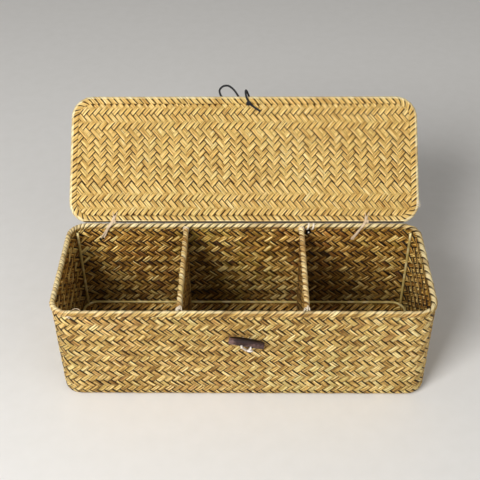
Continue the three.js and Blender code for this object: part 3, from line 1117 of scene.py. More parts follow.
@dataclass(frozen=True)
class StripFinish:
    """Dry flat leaf: fibres along it, painted shade along its edges and at its ends, some strips split, some
    greener or browner.

    Attributes:
        name: the material's name.
        stops: colours from the darkest strips to the palest.
        green: colour of the strips that dried green.
        warm: colour of the browner ones.
        patches: how much the colour drifts over the whole piece.
        split: share of the strips that have split.
        variety: how much one float differs from the next.
        seam: colour in the shadow along the strip's lower side and at its ends.
        crest: colour of a folded strip on its crest, worn paler and with a painted highlight.
        polish_and_sheen: how far that colour, real wear with a painted highlight, covers the strip's own.
        polish_and_sheen_span: where that begins and ends, measured along the strip.
        end_shade: how dark the ends are, in painted shade where they dive under the crossing strips.
        shadow: width of the shadow along the lower side, as a share of the strip's width.
        covered: how much of that painted shadow is gone under the pale crest.
        painted_height_shade: how much paler the strips are at the rim, and on the floor, than half-way up:
            painted shade that deepens down the inside, and painted light on the floor.
        streaks: how much the fibres of one strip differ.
        painted_gap_shadow: painted shadow in the gap between the lid's fold and the rim: Y and Z of a wire,
            the direction from it and how far.
    """

    name: str
    stops: tuple[tuple[float, tuple], ...]
    green: Colour
    warm: Colour
    patches: float = 0.5
    split: float = 0.3
    variety: float = 1.0
    seam: Colour = srgb(70, 44, 14)
    crest: Colour = srgb(255, 255, 255)
    polish_and_sheen: float = 0.0
    polish_and_sheen_span: Flat = (0.0, 1.0)
    end_shade: float = 0.4
    shadow: float = 0.19
    covered: float = 0.5
    painted_height_shade: float = 0.0
    streaks: float = 2.8
    painted_gap_shadow: tuple[float, ...] = ()

    def material(self) -> Material:
        """Builds the finish.

        Returns:
            The material.
        """
        graph = ShaderGraph(self.name)
        strip, own, other = graph.stored("tone")
        along, across, from_end = graph.stored("grain")
        place = graph.place()
        drift = graph.noise(place, 11.0, 2.0)
        hue = graph.noise(graph.moved(place, (3.1, 5.7, 1.9)), 8.0, 1.0)
        in_fibres = graph.vector(along * 0.05 + own * 31, across * 6, strip * 57 + other * 9)
        fibres = graph.noise(in_fibres, 1.0, 3.0)
        fine = graph.noise(graph.vector(along * 0.3, across * 24, own * 71), 1.0, 2.0)
        stain = graph.noise(graph.vector(along * 0.16 + other * 17, across * 1.5, strip * 23), 1.0, 2.0)
        spread = self.variety * (0.5 * (strip - 0.5) + 0.42 * (own - 0.5)) + (drift - 0.5) * self.patches
        tone = spread + 0.4 * (stain - 0.5) + self.streaks * (fibres - 0.5) + 0.5
        colour = graph.ramp(tone, self.stops)
        greener = ((hue - 0.52) * 3 + (strip - 0.66) * 2.2).held() * (0.6 * self.variety)
        colour = graph.mix(greener, colour, self.green)
        warmer = ((0.46 - hue) * 3 + (other - 0.6) * 2.2).held() * (0.5 * self.variety)
        colour = graph.mix(warmer, colour, self.warm)
        # Painted shadow along each strip's lower side and painted shade along its upper side; the split lines
        # are real.
        lower = ((self.shadow - 0.5 - across) / 0.05).held()
        upper = ((across - 0.42) / 0.06).held()
        # Painted shade at the ends of each float, where they dive under the crossing strips.
        end_shade = ((0.38 - from_end) / 0.18).held()
        line = (1 - abs(across - (other - 0.5) * 0.5) / 0.045).held() * (own > 1 - self.split)
        # The crest is painted paler, partly as real wear and partly as a painted highlight, and the painted
        # shadow along the side is thinned there.
        if self.polish_and_sheen:
            start, end = self.polish_and_sheen_span
            polish_and_sheen = ((along - start) / 0.8).held() * ((end - along) / 0.8).held()
            colour = graph.mix(polish_and_sheen * (self.polish_and_sheen * (0.4 + 1.2 * own)).held(), colour, self.crest)
            lower = lower * (1 - self.covered * polish_and_sheen)
        lit = (1 - lower) * (1 - 0.35 * upper) * (1 - self.end_shade * end_shade) * (1 - 0.75 * line)
        # Painted shadow in the gap between the lid's fold and the rim, along the hinge.
        if self.painted_gap_shadow:
            y, z, angle, reach = self.painted_gap_shadow
            _, back, up = place.parts()
            towards = (back - y * MM) * math.cos(angle) + (up - z * MM) * math.sin(angle)
            lit = lit * (1 - 0.95 * ((towards - reach * MM) / (0.25 * MM)).held())
        colour = graph.mix(1 - lit, colour, self.seam)
        glint = (1 - abs(across - self.shadow + 0.33) / 0.13).held()
        shade = (0.5 + 0.88 * fine) * (1 + 0.25 * glint)
        # Painted shade that deepens down the inside walls, and painted light on the floor.
        if self.painted_height_shade:
            level = place.parts()[2] / (HALF_WAY_UP * MM)
            floor = ((0.2 - level) / 0.04).held()
            shade = shade * (1 + self.painted_height_shade * (level - 1 + 1.7 * floor))
        relief = fibres * 0.6 + fine * 0.4 - line * 1.5
        colour = graph.scaled(colour, shade)
        return graph.surface(colour, 0.42 + 0.35 * fine, relief, 0.0004, {"Specular IOR Level": 0.25})


@dataclass(frozen=True)
class FibreFinish:
    """Raffia: fine threads along a strand.

    Attributes:
        name: the material's name.
        dark: colour between the threads.
        pale: colour on them.
        threads: how many noise cells go round the strand.
        depth: metres that one of the relief stands for.
    """

    name: str
    dark: Colour
    pale: Colour
    threads: float = 9.0
    depth: float = 0.0002

    def material(self) -> Material:
        """Builds the finish.

        Returns:
            The material.
        """
        graph = ShaderGraph(self.name)
        along, across, _ = graph.stored("grain")
        threads = graph.noise(graph.vector(along * 0.25, across * self.threads, 0.0), 1.0, 3.0)
        blots = graph.noise(graph.place(), 160.0, 2.0)
        tone = (threads - 0.5) * 1.6 + (blots - 0.5) * 0.8 + 0.6
        colour = graph.mix(tone.held(), self.dark, self.pale)
        return graph.surface(colour, 0.6 + 0.2 * threads, threads, self.depth, {"Specular IOR Level": 0.3})


@dataclass(frozen=True)
class CordFinish:
    """Twisted or braided cord, whose ridges go round it.

    Attributes:
        name: the material's name.
        groove_shade: colour between the ridges, in painted shade.
        crest: colour on them.
        strands: how many ridges it has.
        lay: millimetres for one turn of a ridge.
        roughness: its roughness.
        crossed: whether ridges also run the other way, as in a braid.
    """

    name: str
    groove_shade: Colour
    crest: Colour
    strands: float
    lay: float
    roughness: float
    crossed: bool = False

    def material(self) -> Material:
        """Builds the finish.

        Returns:
            The material.
        """
        graph = ShaderGraph(self.name)
        along, around, _ = graph.stored("grain")
        turn = along * (TURN / self.lay)
        relief = (around * (TURN * self.strands) + turn).sine()
        if self.crossed:
            relief = relief.largest((around * (TURN * self.strands) - turn).sine())
        fluff = graph.noise(graph.place(), 900.0, 3.0)
        # Painted shade between the ridges.
        colour = graph.mix((0.5 + 0.5 * relief + (fluff - 0.5)).held(), self.groove_shade, self.crest)
        relief = relief * 0.5 + fluff
        return graph.surface(colour, self.roughness, relief, 0.00012, {"Specular IOR Level": 0.25})


@dataclass(frozen=True)
class WireFinish:
    """Painted wire with worn patches.

    Attributes:
        name: the material's name.
        paint: colour of the paint.
        worn: colour where it has worn.
    """

    name: str
    paint: Colour
    worn: Colour

    def material(self) -> Material:
        """Builds the finish.

        Returns:
            The material.
        """
        graph = ShaderGraph(self.name)
        place = graph.place()
        wear = graph.noise(place, 90.0, 4.0)
        grit = graph.noise(place, 1400.0, 2.0)
        share = ((wear - 0.48) * 6).held()
        colour = graph.mix(share, self.paint, self.worn)
        return graph.surface(colour, 0.35 + 0.3 * grit, grit, 0.00003, {"Metallic": 0.35})


@dataclass(frozen=True)
class HornFinish:
    """Polished dark horn with lighter veins along it, painted shade along its back edge and a painted
    highlight at its left end.

    Attributes:
        name: the material's name.
        stops: colours from dark to light.
        tilt: how far its right end hangs, in radians.
        centre: place of its middle, in millimetres.
        painted_shade_from: how far behind the middle it gets darker, in painted shade.
        painted_highlight_from: how far left of the middle it gets lighter, in a painted highlight.
    """

    name: str
    stops: tuple[tuple[float, Colour], ...]
    tilt: float
    centre: Spot
    painted_shade_from: float = 2.6
    painted_highlight_from: float = 9.5

    def material(self) -> Material:
        """Builds the finish.

        Returns:
            The material.
        """
        graph = ShaderGraph(self.name)
        x, y, z = graph.place().parts()
        x, y, z = x - self.centre[0] * MM, y - self.centre[1] * MM, z - self.centre[2] * MM
        along = x * math.cos(self.tilt) - z * math.sin(self.tilt)
        up = x * math.sin(self.tilt) + z * math.cos(self.tilt)
        veins = graph.noise(graph.vector(along * 28, y * 160, up * 160), 1.0, 4.0)
        clouds = graph.noise(graph.place(), 420.0, 4.0)
        pores = graph.noise(graph.place(), 1500.0, 2.0)
        # Painted shade along the back edge and a painted highlight at the left end.
        back = ((up * 0.77 + y * 0.64 - self.painted_shade_from * MM) / (0.8 * MM)).held()
        end = ((-self.painted_highlight_from * MM - along) / (5 * MM)).held() * (1 - back)
        tone = (veins - 0.5) * 2.0 + (clouds - 0.5) * 1.0 + 0.42 + 0.45 * end - 0.7 * back
        colour = graph.ramp(tone, self.stops)
        return graph.surface(colour, 0.36 + 0.2 * pores, pores, 0.00002, {"Specular IOR Level": 0.3})


@dataclass(frozen=True)
class CoreFinish:
    """The shaded inner strips that show through the gaps.

    Attributes:
        name: the material's name.
        dark: darker colour of its grain.
        pale: paler one.
    """

    name: str
    dark: Colour
    pale: Colour

    def material(self) -> Material:
        """Builds the finish.

        Returns:
            The material.
        """
        graph = ShaderGraph(self.name)
        grain = graph.noise(graph.place(), 400.0, 3.0)
        colour = graph.mix(((grain - 0.4) * 4).held(), self.dark, self.pale)
        return graph.surface(colour, 0.85, grain, 0.0003, {"Specular IOR Level": 0.15})


@dataclass(frozen=True)
class FloorFinish:
    """Plain pale floor."""

    name: str = "pale floor"

    def material(self) -> Material:
        """Builds the finish.

        Returns:
            The material.
        """
        graph = ShaderGraph(self.name)
        cloth = graph.noise(graph.place(), 60.0, 2.0)
        colour = graph.mix(cloth, srgb(226, 224, 220), srgb(232, 230, 227))
        return graph.surface(colour, 0.8, None, 0.0, {})


@dataclass
class Finishes:
    """The materials of the box."""

    wall: Material
    inside: Material
    lid: Material
    rim: Material
    lid_edge: Material
    border: Material
    core: Material
    lid_core: Material
    wire: Material
    raffia: Material
    tie: Material
    cotton: Material
    horn: Material
    bore: Material
    elastic: Material


def make_finishes() -> Finishes:
    """Builds every material of the box.

    Returns:
        The materials.
    """
    wall = StripFinish(
        "wall seagrass",
        even_stops((98, 66, 23), (150, 112, 50), (194, 156, 84), (228, 194, 118), (250, 232, 172)),
        green=srgb(172, 160, 92),
        warm=srgb(204, 152, 94),
        patches=0.4,
        variety=0.62,
        seam=srgb(26, 12, 0),
        shadow=0.2,
    )
    # A darker, browner copy of the wall's seagrass: painted shade for the inside of the box.
    inside = StripFinish(
        "shaded inner seagrass",
        even_stops((46, 24, 4), (97, 64, 18), (149, 106, 38), (206, 161, 78), (253, 228, 152)),
        green=srgb(138, 124, 50),
        warm=srgb(166, 104, 48),
        variety=0.7,
        seam=srgb(8, 3, 0),
        shadow=0.22,
        painted_height_shade=0.42,
    )
    # Paler and yellower than the wall's seagrass: painted light on the open lid, which faces the lamps.
    lid = StripFinish(
        "lid seagrass",
        even_stops((138, 96, 42), (191, 148, 74), (222, 184, 105), (241, 208, 135), (255, 236, 178)),
        green=srgb(204, 188, 112),
        warm=srgb(224, 174, 98),
        patches=0.2,
        variety=0.35,
        seam=srgb(52, 27, 2),
        end_shade=0.2,
        shadow=0.175,
        streaks=1.9,
    )
    rim = replace(
        wall,
        name="rim strips",
        green=srgb(200, 188, 124),
        warm=srgb(212, 166, 112),
        variety=0.7,
        seam=srgb(38, 20, 2),
        crest=srgb(250, 230, 176),
        polish_and_sheen=0.6,
        polish_and_sheen_span=(5.0, 10.4),
        end_shade=0.0,
        shadow=0.19,
        covered=0.25,
    )
    lid_edge = replace(
        lid,
        name="lid edge strips",
        warm=srgb(226, 176, 92),
        split=0.1,
        seam=srgb(44, 22, 2),
        crest=srgb(250, 236, 188),
        polish_and_sheen=0.6,
        polish_and_sheen_span=(5.0, 13.6),
        end_shade=0.0,
        shadow=0.24,
        covered=0.94,
        # Painted shadow in the gap between this fold and the rim, along the hinge.
        painted_gap_shadow=(71.86, 119.31, math.radians(197), 1.4),
    )
    border = StripFinish(
        "divider border strips",
        even_stops((134, 92, 40), (188, 148, 82), (226, 192, 126), (246, 220, 160), (255, 240, 196)),
        green=srgb(212, 192, 120),
        warm=srgb(222, 172, 104),
        patches=0.25,
        split=0.5,
        variety=0.6,
        seam=srgb(84, 46, 8),
        end_shade=0.0,
        shadow=0.25,
    )
    horn = HornFinish(
        "dark horn",
        even_stops((16, 5, 3), (50, 29, 24), (118, 92, 86)),
        tilt=Toggle.tilt,
        centre=(Toggle.x, Toggle.y, Toggle.z),
    )
    cotton = CordFinish(
        "white cotton",
        groove_shade=srgb(222, 206, 190),
        crest=srgb(255, 250, 244),
        strands=3.0,
        lay=5.0,
        roughness=0.8,
    )
    elastic = CordFinish(
        "black elastic",
        groove_shade=srgb(10, 10, 11),
        crest=srgb(38, 38, 41),
        strands=8.0,
        lay=6.0,
        roughness=0.6,
        crossed=True,
    )
    return Finishes(
        wall=wall.material(),
        inside=inside.material(),
        lid=lid.material(),
        rim=rim.material(),
        lid_edge=lid_edge.material(),
        border=border.material(),
        core=CoreFinish("shaded inner strips", srgb(34, 19, 7), srgb(62, 38, 16)).material(),
        lid_core=CoreFinish("inner strips of the lid", srgb(70, 44, 14), srgb(104, 70, 28)).material(),
        wire=WireFinish("bronze paint", srgb(204, 182, 110), srgb(236, 220, 166)).material(),
        raffia=FibreFinish("raffia", srgb(226, 206, 172), srgb(255, 246, 228)).material(),
        tie=FibreFinish("tie raffia", srgb(184, 152, 114), srgb(244, 222, 190)).material(),
        cotton=cotton.material(),
        horn=horn.material(),
        # Near-black finish of the holes and bores: painted shade inside them.
        bore=CoreFinish("painted shade in holes", srgb(8, 5, 4), srgb(20, 12, 9)).material(),
        elastic=elastic.material(),
    )


def paint_wire(node: str, finishes: Finishes) -> None:
    """Gives a wire of the CAD model that stays in view its finish.

    Args:
        node: the wire's name.
        finishes: the materials.
    """
    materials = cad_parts[node].data.materials
    materials.clear()
    materials.append(finishes.wire)


def finish_with(piece: Piece, body: str, slot: str, *nodes: str) -> Piece:
    """Lets a piece ride on its body, and hides the solids that it stands for.

    Args:
        piece: the piece.
        body: the body that it moves with.
        slot: the record's material slot; not used.
        nodes: names of the solids.

    Returns:
        The piece.
    """
    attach(piece, body)
    if nodes:
        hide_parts(*nodes)
    return piece


# Plaiting


@dataclass
class Plaiter:
    """Makes plaited sheets and folded edges from two trees.

    Attributes:
        twill: the tree of a sheet.
        folded: the tree of a folded edge.
        seed: where the random draws of the last piece began.
    """

    twill: bpy.types.NodeTree = field(default_factory=plait_tree)
    folded: bpy.types.NodeTree = field(default_factory=fold_tree)
    seed: int = 11

    def sheet(
        self,
        name: str,
        columns: int,
        rows: int,
        size: Flat,
        border: int,
        endless: bool,
        material: Material,
        place: Place,
        painted_set_shade: float = 0.0,
    ) -> Piece:
        """Plaits a sheet.

        Args:
            name: the piece's name.
            columns: crossings side by side.
            rows: levels of crossings, one above the other.
            size: width and height of the sheet.
            border: levels at its low and high edge that stand in rows.
            endless: whether its right edge joins its left.
            material: its finish.
            place: puts its points in place.
            painted_set_shade: how much paler the strips of the second set are, or darker if it is below zero,
                as painted light and shade.

        Returns:
            The piece.
        """
        self.seed += 40
        sizes = {
            "Columns": columns,
            "Rows": rows,
            "Half step across": size[0] / (2 * columns),
            "Half step up": size[1] / (rows + 1),
            "Rows in the border": border,
            "Endless": int(endless),
            "Wander of the strips": 0.3,
            "Cover": 1.11 - 0.05 * abs(painted_set_shade),
            "Strip thickness": 0.45,
            "Crown": 0.7,
            "Dive": 0.95,
            "Contrast of the sets": painted_set_shade,
            "Seed": self.seed,
            "Material": material,
        }
        return realised(name, self.twill, sizes, place)

    def folds(
        self,
        name: str,
        count: int,
        girth: float,
        travel: float,
        slant: float,
        laps: tuple[float, float, float, float],
        material: Material,
        place: Place,
        rise: float,
    ) -> Piece:
        """Folds a row of strips over an edge.

        Args:
            name: the piece's name.
            count: how many strips there are.
            girth: length of the edge.
            travel: length of each strip over the edge.
            slant: how far its far end lies along the edge.
            laps: its width as a share of the spacing, what a notch beside the closed part takes off that,
                and the middle and half length of the closed part, where its whole length is two.
            material: its finish.
            place: puts its points in place.
            rise: how far one edge of each strip stands over the other.

        Returns:
            The piece.
        """
        self.seed += 40
        sizes = {
            "Strips": count,
            "Spacing": girth / count,
            "Length of the fold": travel,
            "Slant": slant,
            "Lap": laps[0],
            "Notch": laps[1],
            "Middle of the closed part": laps[2],
            "Closed part": laps[3],
            "Sinking length": 0.9,
            "Strip thickness": 0.5,
            "Rise": rise,
            "Wander of the strips": 0.18,
            "Seed": self.seed,
            "Material": material,
        }
        return realised(name, self.folded, sizes, place)


# Sub-assemblies


LEFT_STRANDS = (
    (
        (-63.0, -64.9, 118.6), (-62.2, -62.6, 119.6), (-60.9, -60.2, 120.3), (-59.3, -59.0, 120.5),
        (-58.0, -60.6, 120.0), (-57.7, -62.8, 118.4),
    ),
    ((-61.8, -65.0, 118.9), (-60.4, -62.6, 120.2), (-59.6, -61.0, 120.4), (-59.2, -63.0, 119.4)),
)
RIGHT_STRANDS = (
    ((61.6, -57.6, 120.1), (61.3, -60.2, 120.6), (59.6, -62.2, 120.2), (56.2, -64.6, 118.7)),
    ((60.6, -57.8, 120.4), (60.9, -60.6, 120.6), (60.6, -63.0, 120.1), (59.9, -65.1, 119.1)),
    ((62.3, -59.4, 119.8), (62.6, -61.6, 119.6), (62.2, -63.6, 118.9)),
)
REAR_RIM = (66.0, 117.0)
DEEPEST_DROP = 0.5


def raffia_yarn(radius: float, sides: int = 8) -> Yarn:
    """Thin raffia, twisted of two strands."""
    return Yarn(radius, sides, lobes=2, ridge=0.2, lay=9.0)


def cotton_yarn(radius: float) -> Yarn:
    """Cotton cord, laid of three strands."""
    return Yarn(radius, lobes=3, ridge=0.16, lay=5.0)


def under_edge(outline: Outline, inset: float, drop: float) -> Place:
    """Draws the rim of a flat sheet in under an edge.

    Args:
        outline: outline of the edge.
        inset: how far inside it the sheet ends.
        drop: how far the drawn points go down for each millimetre that they were outside.

    Returns:
        The function that places points.
    """
    def place(flat: np.ndarray) -> np.ndarray:
        """Draws points in."""
        x, y, outside = outline.tucked(flat[:, 0], flat[:, 1], inset)
        return np.column_stack([x, y, flat[:, 2] - np.minimum(outside * drop, DEEPEST_DROP)])

    return place


def uneven_ends(outline: Outline, shares: Flat) -> Place:
    """Draws what goes round an outline together or apart on its two ends.

    Args:
        outline: the outline.
        shares: widths on the right and on the left end, as shares of that on front and rear.

    Returns:
        The function that places points, whose X runs round the outline as before.
    """
    half = outline.length / 2 - outline.corner
    girth = outline.girth(0.0)
    end = girth / 2 - 2 * half
    knots = np.cumsum([0.0, half, end, 2 * half, end, half])
    spent = np.cumsum([0.0, half, end / shares[0], 2 * half, end / shares[1], half])
    spent = spent * girth / spent[-1]

    def place(flat: np.ndarray) -> np.ndarray:
        """Moves points along the outline."""
        turns = np.floor(flat[:, 0] / girth)
        along = np.interp(flat[:, 0] - turns * girth, spent, knots) + turns * girth
        return np.column_stack([along, flat[:, 1:]])

    return place


@dataclass
class Basket:
    """Walls, base, rim and wire frame.

    Attributes:
        outline: outline of the rim's roll.
        outer: inset of the walls' outer faces.
        wall: thickness of a wall.
        foot: outer radius between wall and base.
        top: height of the walls' upper edge under the rim fold.
        rim_height: height of the rim wire's middle.
        rim_roll: radius of the fold over it.
        end_shares: widths of the folded strips on the right and left end, as shares of that in front.
        columns: crossings round the outside of the walls.
        inner_columns: the same round the inside.
        rows: levels of crossings in the walls.
        floor_columns: crossings along the floor.
        floor_rows: levels of crossings across it.
        rim_strips: how many strips are folded over the rim.
        sunk: how far the middle of the weave lies under the face of the wall.
        wire: radius of the wires.
    """

    outline: Outline = Outline(370.0, 138.0, 20.0)
    outer: float = 1.5
    wall: float = 3.0
    foot: float = 10.0
    top: float = 115.5
    rim_height: float = 117.0
    rim_roll: float = 3.0
    end_shares: Flat = (1.3, 0.6)
    columns: int = 128
    inner_columns: int = 116
    rows: int = 33
    floor_columns: int = 46
    floor_rows: int = 38
    rim_strips: int = 125
    sunk: float = 0.6
    wire: float = 1.4

    @property
    def foot_inset(self) -> float:
        """Inset at which the rounded foot meets the flat base."""
        return self.outer + self.foot

    def build(self, plaiter: Plaiter, finishes: Finishes) -> None:
        """Makes and dresses every piece of the basket.

        Args:
            plaiter: makes the sheets and the folded edges.
            finishes: the materials.
        """
        self._walls(plaiter, finishes)
        self._base(plaiter, finishes)
        self._core(finishes)
        self._rim(plaiter, finishes)
        self._wires(finishes)

    def _walls(self, plaiter: Plaiter, finishes: Finishes) -> None:
        """Plaits both sides of the walls.

        Args:
            plaiter: makes the sheets and the folded edges.
            finishes: the materials.
        """
        outside = Section(
            [(self.foot_inset + 2, self.sunk + 0.1)]
            + arc((self.foot_inset, self.foot), self.foot - self.sunk, -90, 0)
            + [(self.outer + self.sunk, self.top)]
        )
        piece = plaiter.sheet(
            "wall_weave_outside",
            columns=self.columns,
            rows=self.rows,
            size=(self.outline.girth(self.outer), outside.length),
            border=self.rows,
            endless=True,
            material=finishes.wall,
            place=wrapped(self.outline, outside, Facing.OUTSIDE, self.outer),
        )
        finish_with(piece, "basket", "seagrass", "basket_shell")
        inner = self.outer + self.wall
        inside = Section(
            [(self.foot_inset + 2, self.wall - self.sunk)]
            + arc((self.foot_inset, self.foot), self.foot - self.wall + self.sunk, -90, 0)
            + [(inner - self.sunk, self.top)]
        )
        piece = plaiter.sheet(
            "wall_weave_inside",
            columns=self.inner_columns,
            rows=self.rows,
            size=(self.outline.girth(inner), inside.length),
            border=self.rows,
            endless=True,
            material=finishes.inside,
            place=wrapped(self.outline, inside, Facing.INSIDE, inner),
            # Painted light and shade: the floats of the second set darker.
            painted_set_shade=-0.45,
        )
        finish_with(piece, "basket", "seagrass")

    def _base(self, plaiter: Plaiter, finishes: Finishes) -> None:
        """Plaits the underside of the base and the floor inside.

        Args:
            plaiter: makes the sheets and the folded edges.
            finishes: the materials.
        """
        tuck = 4
        width = self.outline.length - 2 * (self.foot_inset - tuck)
        depth = self.outline.depth - 2 * (self.foot_inset - tuck)
        edge = under_edge(self.outline, self.foot_inset, drop=0.3)
        for name, height, right, finish in (
            ("base_weave", 0.9, (-1, 0, 0), finishes.wall),
            ("floor_weave", self.wall - 0.7, (1, 0, 0), finishes.inside),
        ):
            laid = plane((-width / 2, -depth / 2, 0), (1, 0, 0), (0, 1, 0))
            turned = plane((0, 0, height), right, (0, 1, 0))
            place = then(laid, edge, turned)
            piece = plaiter.sheet(
                name,
                columns=self.floor_columns,
                rows=self.floor_rows,
                size=(width, depth),
                border=self.floor_rows,
                endless=False,
                material=finish,
                place=place,
            )
            finish_with(piece, "basket", "seagrass")

    def _core(self, finishes: Finishes) -> None:
        """Makes the dark middle of the walls and base, a sheet in painted shade that stands for the inner
        strips seen through the gaps.

        Args:
            finishes: the materials.
        """
        skin = 1.35
        shoulder = self.top - 3
        foot = (self.foot_inset, self.foot)
        neck = arc((self.rim_roll, self.rim_height + 0.2), self.rim_roll - 1.3, -55, 235)
        loops = arc(foot, self.foot - skin, -90, 0, steps=8) + [(self.outer + skin, shoulder)] + neck
        loops += [(self.outer + self.wall - skin, shoulder)]
        loops += arc(foot, self.foot - self.wall + skin, 0, -90, steps=8)
        finish_with(shell_piece("basket_core", self.outline, loops, finishes.core), "basket", "seagrass")

    def _rim(self, plaiter: Plaiter, finishes: Finishes) -> None:
        """Folds the strips over the rim wire.

        Args:
            plaiter: makes the sheets and the folded edges.
            finishes: the materials.
        """
        end = (1.3, self.rim_height - 3.4)
        crest = arc((self.rim_roll, self.rim_height + 0.35), self.rim_roll - 0.95, -12, 192)
        section = Section([end] + crest + [(2 * self.rim_roll - end[0], end[1])])
        place = then(
            uneven_ends(self.outline, self.end_shares), wrapped(self.outline, section, Facing.OUTSIDE, 0.0)
        )
        piece = plaiter.folds(
            "rim_strips",
            count=self.rim_strips,
            girth=self.outline.girth(0.0),
            travel=section.length,
            slant=16.0,
            laps=(1.06, 0.2, -0.5, 0.5),
            material=finishes.rim,
            place=place,
            rise=0.5,
        )
        finish_with(piece, "basket", "pale_fold", "rim_fold")

    def _wires(self, finishes: Finishes) -> None:
        """Makes the wire ring on the floor and the corner posts.

        Args:
            finishes: the materials.
        """
        low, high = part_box("floor_ring")
        ring_inset = self.outline.length / 2 - high[0] / MM + self.wire
        height = (low[2] + high[2]) / 2 / MM
        along = np.linspace(0, self.outline.girth(ring_inset), 400, endpoint=False)
        x, y = self.outline.follow(along, np.full(len(along), ring_inset), ring_inset)
        path = np.column_stack([x, y, np.full(len(along), height)])
        piece = Yarn(self.wire).run("floor_ring_wire", path, finishes.wire, closed=True)
        finish_with(piece, "basket", "bronze_wire", "floor_ring")
        for side, name in ((-1, "left"), (1, "right")):
            for depth, end in ((-1, "front"), (1, "rear")):
                node = f"corner_post_{end}_{name}"
                low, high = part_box(node)
                x, y = (low[0] + high[0]) / 2 / MM, (low[1] + high[1]) / 2 / MM
                heights = np.linspace(low[2] / MM, high[2] / MM, 12)
                path = np.column_stack([np.full_like(heights, x), np.full_like(heights, y), heights])
                post = Yarn(self.wire).run(f"post_{end}_{name}", path, finishes.wire)
                finish_with(post, "basket", "bronze_wire", node)
        paint_wire("rim_wire", finishes)


@dataclass
class Divider:
    """One upright divider with its border and lashings.

    Attributes:
        name: left or right.
        x: place of its middle.
        strands: routes of the raffia that shows over its front end.
        half_depth: how far it reaches to the front and to the rear.
        foot: inner radius between wall and base.
        low: height of its lower edge.
        wall: its thickness.
        border_height: height of the middle of its border.
        border_roll: radius of its border.
        border_reach: how far the border's strips reach to the front and to the rear.
        lashing: how far from the middle the lashings are.
        columns: crossings from front to rear.
        rows: levels of crossings.
        border_strips: how many strips are folded over its border.
    """

    name: str
    x: float
    strands: tuple[Route, ...]
    half_depth: float = 64.2
    foot: float = 10.0
    low: float = 3.2
    wall: float = 3.0
    border_height: float = 117.0
    border_roll: float = 3.0
    border_reach: float = 62.4
    lashing: float = 60.65
    columns: int = 16
    rows: int = 32
    border_strips: int = 15

    def build(self, plaiter: Plaiter, finishes: Finishes) -> None:
        """Makes and dresses every piece of the divider.

        Args:
            plaiter: makes the sheets and the folded edges.
            finishes: the materials.
        """
        size = (2 * self.half_depth, self.border_height - self.border_roll - self.low)
        half = self.wall / 2 - 0.5
        for side, label in ((-1, "left"), (1, "right")):
            place = plane((self.x + side * half, -side * self.half_depth, self.low), (0, side, 0), (0, 0, 1))
            place = then(place, self._between_walls)
            name = f"divider_{self.name}_weave_{label}"
            piece = plaiter.sheet(
                name,
                columns=self.columns,
                rows=self.rows,
                size=size,
                border=self.rows,
                endless=False,
                material=finishes.inside,
                place=place,
                # Painted light and shade: the floats of the second set paler.
                painted_set_shade=0.3,
            )
            nodes = (f"divider_panel_{self.name}",) if side < 0 else ()
            finish_with(piece, "basket", "seagrass", *nodes)
        # A dark sheet in painted shade stands for the divider's inner strips seen through the gaps.
        half_core = 0.2
        corners = [
            (self.x + a * half_core, b * (self.half_depth - 0.5), c)
            for c in (self.low + 0.3, self.border_height - 2)
            for a, b in ((-1, -1), (1, -1), (1, 1), (-1, 1))
        ]
        faces = ring_faces(2, 4, closed=False)
        piece = mesh_piece(f"divider_{self.name}_core", np.array(corners), faces, finishes.core, smooth=False)
        finish_with(piece, "basket", "seagrass")
        self._border(plaiter, finishes)
        for end, y, strands in (("front", -self.lashing, self.strands), ("rear", self.lashing, ())):
            self._lash(end, y, strands, finishes)
        paint_wire(f"divider_rod_{self.name}", finishes)

    def _between_walls(self, points: np.ndarray) -> np.ndarray:
        """Keeps the ends of the strips off the walls and off their rounded foot.

        Args:
            points: the places.

        Returns:
            The places, moved.
        """
        up = np.clip(self.foot - points[:, 2], 0, self.foot)
        reach = self.half_depth - self.foot + np.sqrt(self.foot**2 - up**2)
        return np.column_stack([points[:, 0], np.clip(points[:, 1], -reach, reach), points[:, 2]])

    def _lash(self, end: str, y: float, strands: Sequence[Route], finishes: Finishes) -> None:
        """Winds thin raffia round one end of the border.

        Args:
            end: front or rear.
            y: place of the lashing.
            strands: routes of the strands that show over it.
            finishes: the materials.
        """
        steps = 48
        path, _ = belt((((0.0, self.border_height), 2.75), ((0.0, self.border_height - 5.6), 1.9)), steps)
        parts = []
        for offset, slope in ((-0.9, 0.5), (0.9, 0.25)):
            along = y + offset + slope * np.sin(np.linspace(0, TURN, steps, endpoint=False))
            route = np.column_stack([self.x + path[:, 0], along, path[:, 1]])
            parts.append(raffia_yarn(0.35).run("turn", route, finishes.raffia, closed=True))
        for strand in strands:
            parts.append(raffia_yarn(0.38).run("strand", smooth_route(strand, 6), finishes.raffia, taper=0.5))
        piece = joined(f"lashing_{end}_{self.name}_raffia", parts)
        finish_with(piece, "basket", "raffia", f"lashing_{end}_{self.name}")

    def _border(self, plaiter: Plaiter, finishes: Finishes) -> None:
        """Winds the strips over the rod.

        Args:
            plaiter: makes the sheets and the folded edges.
            finishes: the materials.
        """
        low = self.border_height - 4.2
        crest = arc((0.0, self.border_height), self.border_roll - 1.3, -20, 200)
        section = Section([(-1.4, low)] + crest + [(1.4, low)])
        reach = self.border_reach

        def place(flat: np.ndarray) -> np.ndarray:
            """Lays points over the border."""
            across, height, way_across, way_height = section.at(flat[:, 1])
            across = across - way_height * flat[:, 2]
            height = height + way_across * flat[:, 2]
            y = np.clip(reach - flat[:, 0], -reach - 0.3, reach + 0.3)
            return np.column_stack([self.x + across, y, height])

        piece = plaiter.folds(
            f"divider_{self.name}_border",
            count=self.border_strips,
            girth=2 * reach,
            travel=section.length,
            slant=15.5,
            laps=(1.02, 0.08, 0.0, 0.1),
            material=finishes.border,
            place=place,
            rise=1.1,
        )
        finish_with(piece, "basket", "pale_fold", f"divider_border_{self.name}")


